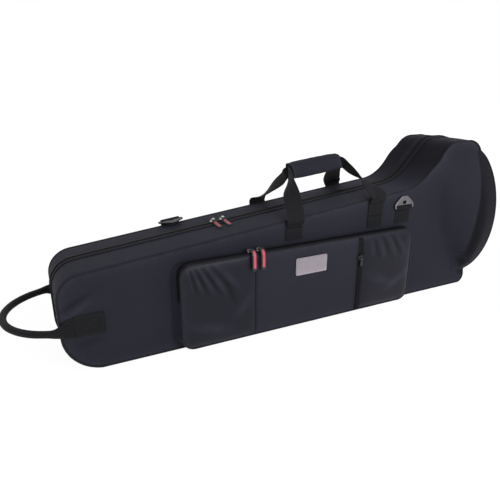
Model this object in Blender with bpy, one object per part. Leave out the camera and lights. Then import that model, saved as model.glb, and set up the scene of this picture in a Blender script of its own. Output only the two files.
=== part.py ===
"""A soft contoured case for a tenor trombone, built as separate pieces at their real size.

Metres, +Z up. The case stands on its long bottom edge, with the bell end towards +X and the
front panel, which carries the pocket, towards -Y. Distances along the case are measured from its
left end, and `place` turns them into the part's own frame, whose origin is the middle of the
footprint. The front half swings about the fabric hinge along the bottom.
"""

import math

import bmesh
import bpy
from mathutils import Matrix, Vector
from mathutils.bvhtree import BVHTree

# Outline of the case, seen from the front
LENGTH = 0.920
LEFT_TOP_HEIGHT = 0.173
TOP_RISE = 0.105
FLARE_FOOT = 0.743
FLARE_HEAD = 0.825
BELL_TOP_HEIGHT = 0.340
LEFT_TOP_RADIUS = 0.045
LEFT_BOTTOM_RADIUS = 0.072
FLARE_FOOT_RADIUS = 0.090
FLARE_HEAD_RADIUS = 0.045
RIGHT_TOP_RADIUS = 0.045
RIGHT_BOTTOM_RADIUS = 0.020

# Depth of the case, and the oval bell drum at its right end
BODY_DEPTH = 0.146
PARTING_Y = 0.014
PARTING_GAP = 0.00025
BELL_HALF_WIDTH = 0.139
BELL_HALF_HEIGHT = 0.165
CREASE_START = 0.775
CREASE_TOP_DROP = 0.060
CREASE_LEAN = 0.083
CREASE_SWEEP = 0.100
BELL_RIM = 0.885
LEAST_FLARE = 0.030
FLARE_LIMIT = 0.900

# Layers of the wall, and the gap that touching pieces keep
GAP = 0.0003
COVER = 0.0012
SHELL = 0.0080
LINING = 0.0015

# Counts of the wall's mesh
STRAIGHT_STEPS = 5
CORNER_STEPS = 4
FLARE_STEPS = 4
ROW_SHARES = (0.0, 0.10, 0.22, 0.36, 0.50, 0.64, 0.77, 0.89, 1.0)
BELL_LEVEL_SHARES = (0.132, 0.250, 0.382, 0.529, 0.676, 0.809)
BELL_LAST_SHARE = 0.615

# Seams and zippers
PIPING_RADIUS = 0.0018
PIPING_INSET = 0.0022
TAPE_WIDTH = 0.016
TAPE_THICKNESS = 0.0008
COIL_WIDTH = 0.0045
COIL_HEIGHT = 0.0030
ZIP_LOWEST = 0.015
HINGE_STRIP_HALF = 0.006
HINGE_STRIP_LIFT = 0.0002

# Pocket on the front panel
POCKET_LEFT = 0.198
POCKET_RIGHT = 0.714
POCKET_BOTTOM = 0.010
POCKET_TOP_DROP = 0.001
POCKET_DEPTH = 0.027
POCKET_RADIUS = 0.022
POCKET_SEAM = 0.342
SIDE_ZIP_LEFT = 0.5715
SIDE_ZIP_RIGHT = 0.5825
SIDE_ZIP_MARGIN = 0.012
POCKET_PUFF = 0.005
POCKET_ZIP_OFFSET = 0.0155
POCKET_TAPE_HALF = 0.0095
POCKET_COIL_HALF = 0.0035
POCKET_COIL_HEIGHT = 0.0025
POCKET_ZIP_DROP = 0.070
BADGE_CENTRE = 0.460
BADGE_DROP = 0.039
BADGE_SIZE = (0.070, 0.035)
BADGE_THICKNESS = 0.0014
BADGE_RADIUS = 0.004

# Sliders and their pulls
SLIDER_LENGTH = 0.012
SLIDER_HALF_WIDTH = 0.0065
SLIDER_PLATE = 0.0016
SLIDER_FLANGE = 0.0012
BAR_HALF_HEIGHT = 0.0008
BAR_HALF_WIDTH = 0.0009
BAR_LIFT = 0.0027
WINDOW_LENGTH = 0.0070
HOOK_RADIUS = 0.0019
HOOK_THICKNESS = 0.0010
HOOK_WIDTH = 0.0050
HOOK_SWEEP = 255.0
PULL_WIDTH = 0.0095
PULL_THICKNESS = 0.0028
MAIN_SLIDERS = (0.306, 0.326)
POCKET_SLIDERS = (0.335, 0.353)
SIDE_SLIDER_DROP = 0.045
# Way of each pull from its bar, as (out, up)
MAIN_PULL_RUN = ((0.0055, -0.0003), (0.0100, -0.0040), (0.0150, -0.0068), (0.0400, -0.0078))
POCKET_PULL_RUN = ((0.0055, 0.0), (0.0105, -0.0007), (0.0155, -0.0029), (0.0188, -0.0085),
                   (0.0200, -0.0380))
SIDE_PULL_RUN = ((0.0040, -0.0004), (0.0085, -0.0010), (0.0165, -0.0010))

# Carrying handle
WEBBING_WIDTH = 0.038
WEBBING_THICKNESS = 0.0022
STRAP_LEFT = 0.436
STRAP_RIGHT = 0.629
HANDLE_HINGE_DROP = 0.0150
PATCH_OFFSET = 0.0065
REAR_PATCH_BOTTOM = 0.060
PATCH_CLEARANCE = 0.0026
RAMP_FOOT = 0.0105
RAMP_HEAD = 0.0062
GRIP_RISE = 0.0977
GRIP_WIDTH = 0.018
GRIP_THICKNESS = 0.0040
FRONT_GRIP_Y = -0.0015
REAR_GRIP_Y = 0.0055
GRIP_SHARES = (-1.05, -0.72, 0.72, 1.05)
WRAP_CENTRE = 0.526
WRAP_LENGTH = 0.115
WRAP_HALF_HEIGHT = 0.0150
WRAP_REACH = 0.0150
WRAP_WALL = 0.0035
WRAP_SPLIT_Y = 0.0020

# Free part of each leg: distance along, depth, rise above the fold, twist in degrees, width share
FREE_LEGS = {
    "front left": ((0.432, 0.0660, 0.0522, 28, 0.97), (0.440, 0.0430, 0.0712, 56, 0.86),
                   (0.457, 0.0170, 0.0852, 78, 0.68)),
    "front right": ((0.6180, 0.0690, 0.0545, 15, 0.95), (0.6075, 0.0490, 0.0745, 38, 0.82),
                    (0.5975, 0.0220, 0.0890, 64, 0.68)),
    "rear left": ((0.4450, 0.0620, 0.0370, 38, 0.92), (0.4545, 0.0420, 0.0565, 58, 0.80),
                  (0.4610, 0.0190, 0.0740, 76, 0.68)),
    "rear right": ((0.6190, 0.0690, 0.0490, 20, 0.97), (0.6050, 0.0450, 0.0660, 48, 0.86),
                   (0.5950, 0.0195, 0.0860, 72, 0.68)),
}

# Rings for a shoulder strap
RING_WIDTH = 0.050
RING_HEIGHT = 0.027
RING_SHOULDER = 0.010
RING_FLANK = (0.0165, 0.0190)
RING_TOP = 0.014
RING_THICKNESS = 0.0030
RING_BAR = 0.0035
RING_CORNER = 0.004
SLOT_WIDTH = 0.041
SLOT_HEIGHT = 0.0055
EYE_FOOT = (0.0055, 0.0080)
EYE_TOP = (0.0035, 0.0130)
FOLD_RADIUS = 0.0035
FOLD_THICKNESS = 0.0016
FOLD_SWEEP = 250.0
FRONT_RING = 0.702
FRONT_RING_DROP = 0.0352
FRONT_RING_LEAN = 3.0
REAR_RING = 0.238
REAR_RING_LIFT = 0.0068
REAR_RING_Y = 0.0752
REAR_RING_LEAN = 85.0
REAR_TAB_KNEE = 0.0075
REAR_TAB_REACH = 0.011
REAR_TAB_LENGTH = 0.050

# Loop handle at the left end
LOOP_HEIGHT = 0.0875
LOOP_REACH = 0.090
LOOP_RADIUS = 0.0062
LOOP_FLAT_WIDTH = 0.036
LOOP_FLAT_THICKNESS = 0.0030
LOOP_REAR_RISE = 0.0105
LOOP_TAPER = 1.08
# Sewn end of the loop: distance along, depth beyond the piping, half height, half thickness
LOOP_END = ((0.0030, 0.0006, 0.0120, 0.0026), (-0.0080, 0.0026, 0.0080, 0.0045))
LOOP_SHOULDER = (0.0120, 0.0012, 0.0165, 0.0017)
LOOP_SPREAD = 0.0030
ANCHOR_START = 0.022
ANCHOR_END = 0.072
ANCHOR_WIDTH = 0.040
ANCHOR_THICKNESS = 0.0020

# Foam blocks and the compartment inside
BLOCK_CLEARANCE = 0.0010
TUBE_SLOT_RADIUS = 0.0125
NECK_DROP = 0.0397
LOWER_TUBE_HEIGHT = 0.055
NECK_BLOCK = (0.445, 0.475)
CROOK_BLOCK = (0.245, 0.272)
CROOK_SLANT = 0.012
BELL_CRADLE = (0.735, 0.765)
CRADLE_RADIUS = 0.036
END_PAD_THICKNESS = 0.008
END_PAD_RADIUS = 0.098
SLIDE_BLOCKS = (("left", 0.100), ("middle", 0.445), ("right", 0.700))
SLIDE_BLOCK_LENGTH = 0.030
SLIDE_BLOCK_DEPTH = 0.024
SLIDE_SLOT_RADIUS = 0.0095
SLIDE_LOW_SLOT = 0.050
SLIDE_HIGH_DROP = 0.038
SLIDE_BLOCK_MARGIN = 0.026
SLIDE_STRAPS = (("left", 0.270), ("right", 0.655))
SLIDE_STRAP_WIDTH = 0.025
SLIDE_STRAP_THICKNESS = 0.0022
SLIDE_STRAP_SHOULDER = 0.012
SLIDE_STRAP_LIFT = 0.003
BOX_OFFSET = 0.025
BOX_LENGTH = 0.120
BOX_HEIGHTS = (0.082, 0.150)
BOX_FRONT_Y = 0.0300
BOX_WALL = 0.0025
BOX_LID = 0.0030
BOX_RADIUS = 0.006
HOLDER_OFFSET = 0.020
HOLDER_LENGTH = 0.050
HOLDER_HEIGHT = 0.116
HOLDER_HALF = 0.0150
HOLDER_BORE = 0.0110
HOLDER_CORNER = 0.0030

# Sizes that follow from the ones above
SHELL_OUT = COVER + GAP
SHELL_IN = SHELL_OUT + SHELL
LINING_OUT = SHELL_IN + GAP
LINING_IN = LINING_OUT + LINING
BLOCK_INSET = LINING_IN + GAP
HALF_DEPTH = BODY_DEPTH / 2
POCKET_FRONT = HALF_DEPTH + POCKET_DEPTH
SLOPE = math.atan(TOP_RISE)
BELL_CENTRE_HEIGHT = BELL_TOP_HEIGHT - BELL_HALF_HEIGHT
CREASE_TOP_HEIGHT = BELL_TOP_HEIGHT - CREASE_TOP_DROP
POCKET_TOP = LEFT_TOP_HEIGHT - POCKET_TOP_DROP
PATCH_BOTTOM = POCKET_TOP + PATCH_OFFSET
HANDLE_HINGE_HEIGHT = LEFT_TOP_HEIGHT + TOP_RISE * STRAP_LEFT - HANDLE_HINGE_DROP
GRIP_HEIGHT = HANDLE_HINGE_HEIGHT + GRIP_RISE
FRONT_RING_HEIGHT = LEFT_TOP_HEIGHT + TOP_RISE * FRONT_RING - FRONT_RING_DROP
NECK_HEIGHT = LEFT_TOP_HEIGHT + TOP_RISE * NECK_BLOCK[0] - NECK_DROP
SLIDE_SLOTS = (SLIDE_LOW_SLOT, LEFT_TOP_HEIGHT - SLIDE_HIGH_DROP)
BOX_START = NECK_BLOCK[1] + BOX_OFFSET
BOX_SPAN = (BOX_START, BOX_START + BOX_LENGTH)
HOLDER_START = BOX_SPAN[1] + HOLDER_OFFSET
HOLDER_SPAN = (HOLDER_START, HOLDER_START + HOLDER_LENGTH)
CENTRE_X = (LENGTH + GAP + COIL_HEIGHT - LOOP_REACH) / 2
FRONT, REAR = -1, 1

FINISHES = {
    "ballistic_nylon": ((0.012, 0.012, 0.014), 0.75, 0.0),
    "satin_nylon": ((0.017, 0.017, 0.020), 0.45, 0.0),
    "webbing": ((0.010, 0.010, 0.011), 0.70, 0.0),
    "piping": ((0.014, 0.014, 0.015), 0.50, 0.0),
    "zipper": ((0.009, 0.009, 0.010), 0.55, 0.0),
    "shell_board": ((0.060, 0.060, 0.062), 0.80, 0.0),
    "plush": ((0.018, 0.018, 0.022), 0.95, 0.0),
    "foam": ((0.030, 0.030, 0.034), 0.95, 0.0),
    "nickel": ((0.620, 0.620, 0.630), 0.28, 1.0),
    "pull_rubber": ((0.300, 0.030, 0.050), 0.55, 0.0),
    "badge_metal": ((0.560, 0.560, 0.570), 0.35, 1.0),
}


def place(along, y, z):
    """Turn a distance from the left end, a depth and a height into the part's own frame."""
    return Vector((along - CENTRE_X, y, z))


def finish_material(name):
    """Make or fetch the Principled material for one finish."""
    material = bpy.data.materials.get(name)
    if material is None:
        colour, roughness, metallic = FINISHES[name]
        material = bpy.data.materials.new(name)
        material.use_nodes = True
        shader = material.node_tree.nodes["Principled BSDF"]
        shader.inputs["Base Color"].default_value = (*colour, 1.0)
        shader.inputs["Roughness"].default_value = roughness
        shader.inputs["Metallic"].default_value = metallic
    return material


def add_object(name, data, finish, origin=None):
    """Link an object, with its origin moved to a joint's axis where one is given."""
    data.materials.append(finish_material(finish))
    piece = bpy.data.objects.new(name, data)
    bpy.context.scene.collection.objects.link(piece)
    if origin is not None:
        data.transform(Matrix.Translation(-origin))
        piece.location = origin
    return piece


def add_mesh(name, bm, finish, origin=None, smooth_angle=40.0):
    """Store a bmesh as a named object with its faces pointing out."""
    bmesh.ops.recalc_face_normals(bm, faces=bm.faces[:])
    mesh = bpy.data.meshes.new(name)
    bm.to_mesh(mesh)
    bm.free()
    mesh.shade_smooth()
    mesh.set_sharp_from_angle(angle=math.radians(smooth_angle))
    return add_object(name, mesh, finish, origin)


def bridge_rings(bm, first, second):
    """Join two equal rings of vertices with a band of quads."""
    count = len(first)
    for k in range(count):
        after = (k + 1) % count
        bm.faces.new((first[k], first[after], second[after], second[k]))


def skin(name, rings, finish, origin=None, closed=False, smooth_angle=40.0):
    """Make one closed body through equal rings of points, capped unless the rings close."""
    bm = bmesh.new()
    loops = [[bm.verts.new(point) for point in ring] for ring in rings]
    for first, second in zip(loops, loops[1:]):
        bridge_rings(bm, first, second)
    if closed:
        bridge_rings(bm, loops[-1], loops[0])
    else:
        bm.faces.new(loops[0])
        bm.faces.new(loops[-1])
    return add_mesh(name, bm, finish, origin, smooth_angle)


def extrude_profile(name, profile, start, end, finish, origin=None):
    """Extrude a closed profile of (y, z) points along the case."""
    bm = bmesh.new()
    verts = [bm.verts.new(place(start, y, z)) for y, z in profile]
    face = bm.faces.new(verts)
    grown = bmesh.ops.extrude_face_region(bm, geom=[face])
    moved = [item for item in grown["geom"] if isinstance(item, bmesh.types.BMVert)]
    bmesh.ops.translate(bm, vec=Vector((end - start, 0.0, 0.0)), verts=moved)
    return add_mesh(name, bm, finish, origin)


def strip(name, path, widths, thicknesses, hints, finish, origin=None, square_to=None):
    """Sweep a flat band along a path; the hints say which way its width points.

    `square_to` gives, by station, a direction that the band's section stands square to there.
    """
    rings = []
    last = len(path) - 1
    for k, point in enumerate(path):
        tangent = (path[min(k + 1, last)] - path[max(k - 1, 0)]).normalized()
        if square_to and k in square_to:
            tangent = square_to[k]
        across = (hints[k] - tangent * hints[k].dot(tangent)).normalized()
        normal = tangent.cross(across)
        wide = across * widths[k] / 2
        thick = normal * thicknesses[k] / 2
        rings.append([point - wide - thick, point + wide - thick,
                      point + wide + thick, point - wide + thick])
    return skin(name, rings, finish, origin)


def tube(name, points, radius, finish, cyclic=False, resolution=1):
    """Make a round tube along points, as a bevelled poly curve."""
    curve = bpy.data.curves.new(name, "CURVE")
    curve.dimensions = "3D"
    curve.bevel_depth = radius
    curve.bevel_resolution = resolution
    curve.render_resolution_u = 0
    curve.use_fill_caps = not cyclic
    spline = curve.splines.new("POLY")
    spline.points.add(len(points) - 1)
    for slot, point in zip(spline.points, points):
        slot.co = (*point, 1.0)
    spline.use_cyclic_u = cyclic
    return add_object(name, curve, finish)


def fillet(before, corner, after, radius, steps):
    """Return points along the arc that rounds one corner of a path in the XZ plane."""
    inward = (before - corner).normalized()
    outward = (after - corner).normalized()
    half = inward.angle(outward) / 2
    reach = radius / math.tan(half)
    centre = corner + (inward + outward).normalized() * radius / math.sin(half)
    first = corner + inward * reach - centre
    last = corner + outward * reach - centre
    sweep = first.angle(last)
    arc = []
    for k in range(steps + 1):
        share = k / steps
        weight_first = math.sin((1 - share) * sweep) / math.sin(sweep)
        weight_last = math.sin(share * sweep) / math.sin(sweep)
        arc.append(centre + first * weight_first + last * weight_last)
    return arc


def meet(line_a, line_b):
    """Return the crossing point of two lines, each a point and a direction."""
    (p, u), (q, v) = line_a, line_b
    cross = u.x * v.y - u.y * v.x
    share = ((q.x - p.x) * v.y - (q.y - p.y) * v.x) / cross
    return p + u * share


def top_height(along):
    """Height of the straight part of the top outline."""
    return LEFT_TOP_HEIGHT + TOP_RISE * along


def top_chain(inset):
    """Points along the top outline, moved inwards, from the left end to the right end."""
    foot_height = top_height(FLARE_FOOT)
    ends = [Vector((0.0, 0.0)), Vector((0.0, LEFT_TOP_HEIGHT)), Vector((FLARE_FOOT, foot_height)),
            Vector((FLARE_HEAD, BELL_TOP_HEIGHT)), Vector((LENGTH, BELL_TOP_HEIGHT)),
            Vector((LENGTH, 0.0))]
    lines = []
    for a, b in zip(ends, ends[1:]):
        run = (b - a).normalized()
        lines.append((a + Vector((run.y, -run.x)) * inset, run))
    corners = [meet(a, b) for a, b in zip(lines, lines[1:])]
    corners.insert(0, Vector((inset, 0.0)))
    corners.append(Vector((LENGTH - inset, 0.0)))
    radii = (LEFT_TOP_RADIUS - inset, FLARE_FOOT_RADIUS + inset,
             FLARE_HEAD_RADIUS - inset, RIGHT_TOP_RADIUS - inset)
    steps = (CORNER_STEPS, FLARE_STEPS, FLARE_STEPS, CORNER_STEPS)
    arcs = [fillet(corners[k], corners[k + 1], corners[k + 2], radii[k], steps[k])
            for k in range(len(radii))]
    start, end = arcs[0][-1], arcs[1][0]
    first_share = (LEFT_BOTTOM_RADIUS - start.x) / (end.x - start.x)
    straight = [start.lerp(end, first_share + (1 - first_share) * k / STRAIGHT_STEPS)
                for k in range(STRAIGHT_STEPS)]
    return arcs[0] + straight + arcs[1] + arcs[2] + arcs[3]


def bottom_height(along, inset):
    """Height of the bottom outline, moved inwards, with both of its rounded corners."""
    left = LEFT_BOTTOM_RADIUS - inset
    right = RIGHT_BOTTOM_RADIUS - inset
    left_run = inset + left - along
    right_run = along - (LENGTH - inset - right)
    if left_run > 0:
        return inset + left - math.sqrt(max(0.0, left * left - left_run * left_run))
    if right_run > 0:
        return inset + right - math.sqrt(max(0.0, right * right - right_run * right_run))
    return inset


def crease_start(height):
    """Where the flat panel ends and the bell's flare begins, at one height."""
    share = max(0.0, (CREASE_TOP_HEIGHT - height) / CREASE_TOP_HEIGHT)
    return CREASE_START + CREASE_LEAN * share + CREASE_SWEEP * share ** 4


def half_width(along, height):
    """Half of the case's outside depth at one place on the panel."""
    offset = (height - BELL_CENTRE_HEIGHT) / BELL_HALF_HEIGHT
    oval = BELL_HALF_WIDTH * math.sqrt(max(0.0, 1.0 - offset * offset))
    extra = max(0.0, oval - HALF_DEPTH)
    start = min(crease_start(height), FLARE_LIMIT - LEAST_FLARE)
    end = max(BELL_RIM, start + LEAST_FLARE)
    share = min(1.0, max(0.0, (along - start) / (end - start)))
    return HALF_DEPTH + extra * share * (3.0 - share * share) / 2.0


def row_heights(along, low, top):
    """Heights of a column's rows: even shares on the panel, fixed levels on the bell."""
    blend = min(1.0, max(0.0, (along - FLARE_FOOT) / (FLARE_HEAD - FLARE_FOOT)))
    even = [low + (top - low) * share for share in ROW_SHARES]
    levels = [BELL_TOP_HEIGHT * share for share in BELL_LEVEL_SHARES]
    last = levels[-1]
    fixed = [low, *levels, last + (top - last) * BELL_LAST_SHARE, top]
    return [a + (b - a) * blend for a, b in zip(even, fixed)]


def wall_grid(inset, side):
    """Columns of points over one panel, moved inwards from the outer surface."""
    grid = []
    for outer_top, top in zip(top_chain(0.0), top_chain(inset)):
        column = []
        for z in row_heights(outer_top.x, bottom_height(top.x, inset), top.y):
            y = half_width(outer_top.x, z) - inset
            column.append(place(top.x, side * y, z))
        grid.append(column)
    return grid


def edge_loop(grid):
    """The grid's outer points in order: bottom, right end, top and left end."""
    bottom = [column[0] for column in grid]
    right = grid[-1][1:-1]
    top = [column[-1] for column in reversed(grid)]
    left = list(reversed(grid[0][1:-1]))
    return bottom + right + top + left


def add_grid_faces(bm, rows):
    """Fill a grid of vertices with triangles that all split the same way."""
    for left, right in zip(rows, rows[1:]):
        for k in range(len(left) - 1):
            bm.faces.new((left[k], right[k], right[k + 1]))
            bm.faces.new((left[k], right[k + 1], left[k + 1]))


def panel_cover(name, side):
    """The fabric panel over one face of the case, mitred at its seam."""
    bm = bmesh.new()
    sheets = []
    for inset in (0.0, COVER):
        rows = [[bm.verts.new(point) for point in column] for column in wall_grid(inset, side)]
        add_grid_faces(bm, rows)
        sheets.append(edge_loop(rows))
    bridge_rings(bm, sheets[0], sheets[1])
    return add_mesh(name, bm, "ballistic_nylon")


def gusset_cover(name, side):
    """The fabric band round one half's edge, from the zipper to the panel's seam."""
    outer = edge_loop(wall_grid(0.0, side))
    inner = edge_loop(wall_grid(COVER, side))
    rings = []
    for out_point, in_point in zip(outer, inner):
        along = out_point.x + CENTRE_X
        on_hinge = out_point.z < GAP and LEFT_BOTTOM_RADIUS <= along + GAP
        on_hinge = on_hinge and along < LENGTH - RIGHT_BOTTOM_RADIUS
        back_off = HINGE_STRIP_HALF if on_hinge else PARTING_GAP
        rim_y = PARTING_Y + side * back_off
        rings.append([Vector((out_point.x, rim_y, out_point.z)),
                      Vector((out_point.x, out_point.y - side * GAP, out_point.z)),
                      Vector((in_point.x, in_point.y - side * GAP, in_point.z)),
                      Vector((in_point.x, rim_y, in_point.z))])
    return skin(name, rings, "ballistic_nylon", closed=True)


def tray(name, side, outer_inset, inner_inset, finish):
    """A rigid or lining tray: a panel with a wall that rises to the parting plane."""
    bm = bmesh.new()
    rim_y = PARTING_Y + side * PARTING_GAP
    edges, rims = [], []
    for inset in (outer_inset, inner_inset):
        rows = [[bm.verts.new(point) for point in column] for column in wall_grid(inset, side)]
        add_grid_faces(bm, rows)
        edge = edge_loop(rows)
        rim = [bm.verts.new(Vector((vert.co.x, rim_y, vert.co.z))) for vert in edge]
        bridge_rings(bm, edge, rim)
        edges.append(edge)
        rims.append(rim)
    bridge_rings(bm, rims[0], rims[1])
    return add_mesh(name, bm, finish)


def resting_depth(tree, spot, side, radius):
    """Depth at which the centre of a round cord rests on a panel, just clear of it."""
    start = side * 2 * BELL_HALF_WIDTH
    reach = radius + GAP
    depth = 0.0
    for share in (0.0, 0.5, 1.0):
        for k in range(8):
            angle = math.pi * k / 4
            x = spot.x + share * reach * math.cos(angle)
            z = spot.z + share * reach * math.sin(angle)
            hit = tree.ray_cast(Vector((x, start, z)), Vector((0.0, -side, 0.0)))[0]
            if hit is not None:
                depth = max(depth, abs(hit.y) + reach * math.sqrt(1.0 - share * share))
    return depth


def piping(name, side, panel):
    """The corded welt that lies on the panel just inside its seam."""
    bm = bmesh.new()
    bm.from_mesh(panel.data)
    tree = BVHTree.FromBMesh(bm)
    bm.free()
    seam = edge_loop(wall_grid(PIPING_INSET, side))
    middles = [spot.lerp(seam[(k + 1) % len(seam)], 0.5) for k, spot in enumerate(seam)]
    own = [resting_depth(tree, spot, side, PIPING_RADIUS) for spot in seam]
    between = [resting_depth(tree, spot, side, PIPING_RADIUS) for spot in middles]
    points = []
    for k, spot in enumerate(seam):
        depth = max(own[k], between[k], between[k - 1])
        points.append(Vector((spot.x, side * depth, spot.z)))
    return tube(name, points, PIPING_RADIUS, "piping", cyclic=True)


def zip_path(inset):
    """Points of the main zipper, from the left end's foot, over the top, to the right end."""
    chain = top_chain(inset)
    left_arc = []
    for point, edge_point in zip(chain[:CORNER_STEPS], top_chain(0.0)):
        if bottom_height(edge_point.x, 0.0) > ZIP_LOWEST:
            left_arc.insert(0, Vector((point.x, bottom_height(point.x, inset))))
    return left_arc + chain + [Vector((LENGTH - inset, RIGHT_BOTTOM_RADIUS))]


def zipper_tape(name, side):
    """Half of the main zipper: a tape on the gusset with its coil at the parting plane."""
    levels = {key: zip_path(-height) for key, height in
              (("seat", GAP), ("tape", GAP + TAPE_THICKNESS), ("coil", GAP + COIL_HEIGHT))}
    near = PARTING_Y + side * PARTING_GAP
    coil = near + side * COIL_WIDTH
    far = near + side * TAPE_WIDTH
    section = ((near, "seat"), (near, "coil"), (coil, "coil"), (coil, "tape"),
               (far, "tape"), (far, "seat"))
    rings = []
    for k in range(len(levels["seat"])):
        rings.append([place(levels[key][k].x, y, levels[key][k].y) for y, key in section])
    return skin(name, rings, "zipper")


def hinge_strip():
    """The fabric hinge along the bottom, sewn between the two gussets."""
    width = HINGE_STRIP_HALF - GAP
    profile = [(PARTING_Y - width, HINGE_STRIP_LIFT), (PARTING_Y + width, HINGE_STRIP_LIFT),
               (PARTING_Y + width, COVER), (PARTING_Y - width, COVER)]
    return extrude_profile("hinge_strip", profile, LEFT_BOTTOM_RADIUS + GAP,
                           BELL_RIM, "ballistic_nylon")


def rounded_box(left, right, bottom, top, radius, steps=CORNER_STEPS):
    """Points of an upright rectangle with round corners, as (along, height) pairs."""
    corners = [(left, bottom), (right, bottom), (right, top), (left, top)]
    corners = [Vector(corner) for corner in corners]
    points = []
    for k in range(4):
        points += fillet(corners[k - 1], corners[k], corners[(k + 1) % 4], radius, steps)
    return points


def pocket_outline(inset):
    """The pocket's outline from the front, moved inwards."""
    return rounded_box(POCKET_LEFT + inset, POCKET_RIGHT - inset, POCKET_BOTTOM + inset,
                       POCKET_TOP - inset, POCKET_RADIUS - inset)


def pocket_gusset():
    """The band that carries the pocket's front off the case's panel."""
    back = -(HALF_DEPTH + GAP)
    front = -(POCKET_FRONT - COVER - GAP)
    rings = []
    for outer, inner in zip(pocket_outline(0.0), pocket_outline(COVER)):
        rings.append([place(outer.x, back, outer.y), place(outer.x, front, outer.y),
                      place(inner.x, front, inner.y), place(inner.x, back, inner.y)])
    return skin("pocket_gusset", rings, "ballistic_nylon", closed=True)


def pocket_height_limits(along):
    """Lowest and highest point of the pocket's front at one distance along the case."""
    run = max(POCKET_LEFT + POCKET_RADIUS - along, along - (POCKET_RIGHT - POCKET_RADIUS), 0.0)
    drop = POCKET_RADIUS - math.sqrt(max(0.0, POCKET_RADIUS ** 2 - run ** 2))
    return POCKET_BOTTOM + drop, POCKET_TOP - drop


def pocket_panel(name, stations, puff, finish):
    """One of the pocket's front panels, as a sheet with a soft crown."""
    left, right = stations[0], stations[-1]
    bm = bmesh.new()
    edges = []
    for depth in (0.0, COVER):
        rows = []
        for along in stations:
            low, high = pocket_height_limits(along)
            column = []
            for k in range(7):
                share = k / 6
                crown = puff * math.sin(math.pi * share)
                crown *= math.sin(math.pi * (along - left) / (right - left))
                y = -(POCKET_FRONT - depth + crown)
                column.append(bm.verts.new(place(along, y, low + (high - low) * share)))
            rows.append(column)
        add_grid_faces(bm, rows)
        edges.append(edge_loop(rows))
    bridge_rings(bm, edges[0], edges[1])
    return add_mesh(name, bm, finish)


def pocket_front():
    """The pocket's three front panels, its piping, its two zippers and its badge."""
    corner = [POCKET_RADIUS * (1 - math.cos(math.radians(22.5 * k))) for k in range(5)]
    left_stations = [POCKET_LEFT + step for step in corner]
    left_end = POCKET_SEAM - GAP / 2
    left_stations += [left_stations[-1] + (left_end - left_stations[-1]) * k / 4 for k in range(1, 5)]
    pocket_panel("pocket_left_panel", left_stations, POCKET_PUFF, "satin_nylon")
    pocket_panel("pocket_centre_panel", [POCKET_SEAM + GAP / 2, SIDE_ZIP_LEFT - GAP], 0.0,
                 "ballistic_nylon")
    right_stations = [POCKET_RIGHT - step for step in reversed(corner)]
    right_start = SIDE_ZIP_RIGHT + GAP
    run = right_stations[0] - right_start
    right_stations = [right_start + run * k / 4 for k in range(4)] + right_stations
    pocket_panel("pocket_right_panel", right_stations, POCKET_PUFF, "satin_nylon")
    welt = [place(point.x, -(POCKET_FRONT + GAP + PIPING_RADIUS), point.y)
            for point in pocket_outline(PIPING_INSET)]
    tube("pocket_piping", welt, PIPING_RADIUS, "piping", cyclic=True)


def pocket_zip_path(inset):
    """The pocket zipper's path: up the left side, over the top and down the right side."""
    outline = pocket_outline(inset)
    over_top = outline[2 * (CORNER_STEPS + 1):]
    foot = POCKET_TOP - POCKET_ZIP_DROP
    return [Vector((POCKET_RIGHT - inset, foot))] + over_top + [Vector((POCKET_LEFT + inset, foot))]


def pocket_zipper():
    """The pocket's zipper, tape and coil, on the outside of its gusset."""
    middle = -(HALF_DEPTH + POCKET_ZIP_OFFSET)
    levels = {key: pocket_zip_path(-height) for key, height in
              (("seat", GAP), ("tape", GAP + TAPE_THICKNESS), ("coil", GAP + POCKET_COIL_HEIGHT))}
    section = ((-POCKET_TAPE_HALF, "seat"), (-POCKET_TAPE_HALF, "tape"),
               (-POCKET_COIL_HALF, "tape"), (-POCKET_COIL_HALF, "coil"),
               (POCKET_COIL_HALF, "coil"), (POCKET_COIL_HALF, "tape"),
               (POCKET_TAPE_HALF, "tape"), (POCKET_TAPE_HALF, "seat"))
    rings = []
    for k in range(len(levels["seat"])):
        rings.append([place(levels[key][k].x, middle + y, levels[key][k].y)
                      for y, key in section])
    return skin("pocket_zipper", rings, "zipper")


def side_zipper():
    """The upright zipper between the pocket's centre and right panels."""
    middle = (SIDE_ZIP_LEFT + SIDE_ZIP_RIGHT) / 2
    coil_half = (SIDE_ZIP_RIGHT - SIDE_ZIP_LEFT) / 4
    back = -(POCKET_FRONT - COVER)
    front = -POCKET_FRONT
    low, high = POCKET_BOTTOM + GAP, POCKET_TOP - GAP
    flush = GAP / 3
    levels = ((low, flush), (low + SIDE_ZIP_MARGIN - COIL_HEIGHT, flush),
              (low + SIDE_ZIP_MARGIN, TAPE_THICKNESS), (high - SIDE_ZIP_MARGIN, TAPE_THICKNESS),
              (high - SIDE_ZIP_MARGIN + COIL_HEIGHT, flush), (high, flush))
    rings = []
    for z, height in levels:
        proud = front - height
        section = ((SIDE_ZIP_LEFT, back), (SIDE_ZIP_LEFT, front), (middle - coil_half, front),
                   (middle - coil_half, proud), (middle + coil_half, proud),
                   (middle + coil_half, front), (SIDE_ZIP_RIGHT, front), (SIDE_ZIP_RIGHT, back))
        rings.append([place(along, y, z) for along, y in section])
    return skin("side_zipper", rings, "zipper")


def badge():
    """The bare metal plate on the pocket's centre panel."""
    half_x, half_z = BADGE_SIZE[0] / 2, BADGE_SIZE[1] / 2
    height = POCKET_TOP - BADGE_DROP
    outline = rounded_box(BADGE_CENTRE - half_x, BADGE_CENTRE + half_x, height - half_z,
                          height + half_z, BADGE_RADIUS, steps=3)
    back = -(POCKET_FRONT + GAP)
    rings = [[place(point.x, y, point.y) for point in outline]
             for y in (back, back - BADGE_THICKNESS)]
    return skin("badge", rings, "badge_metal")


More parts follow.
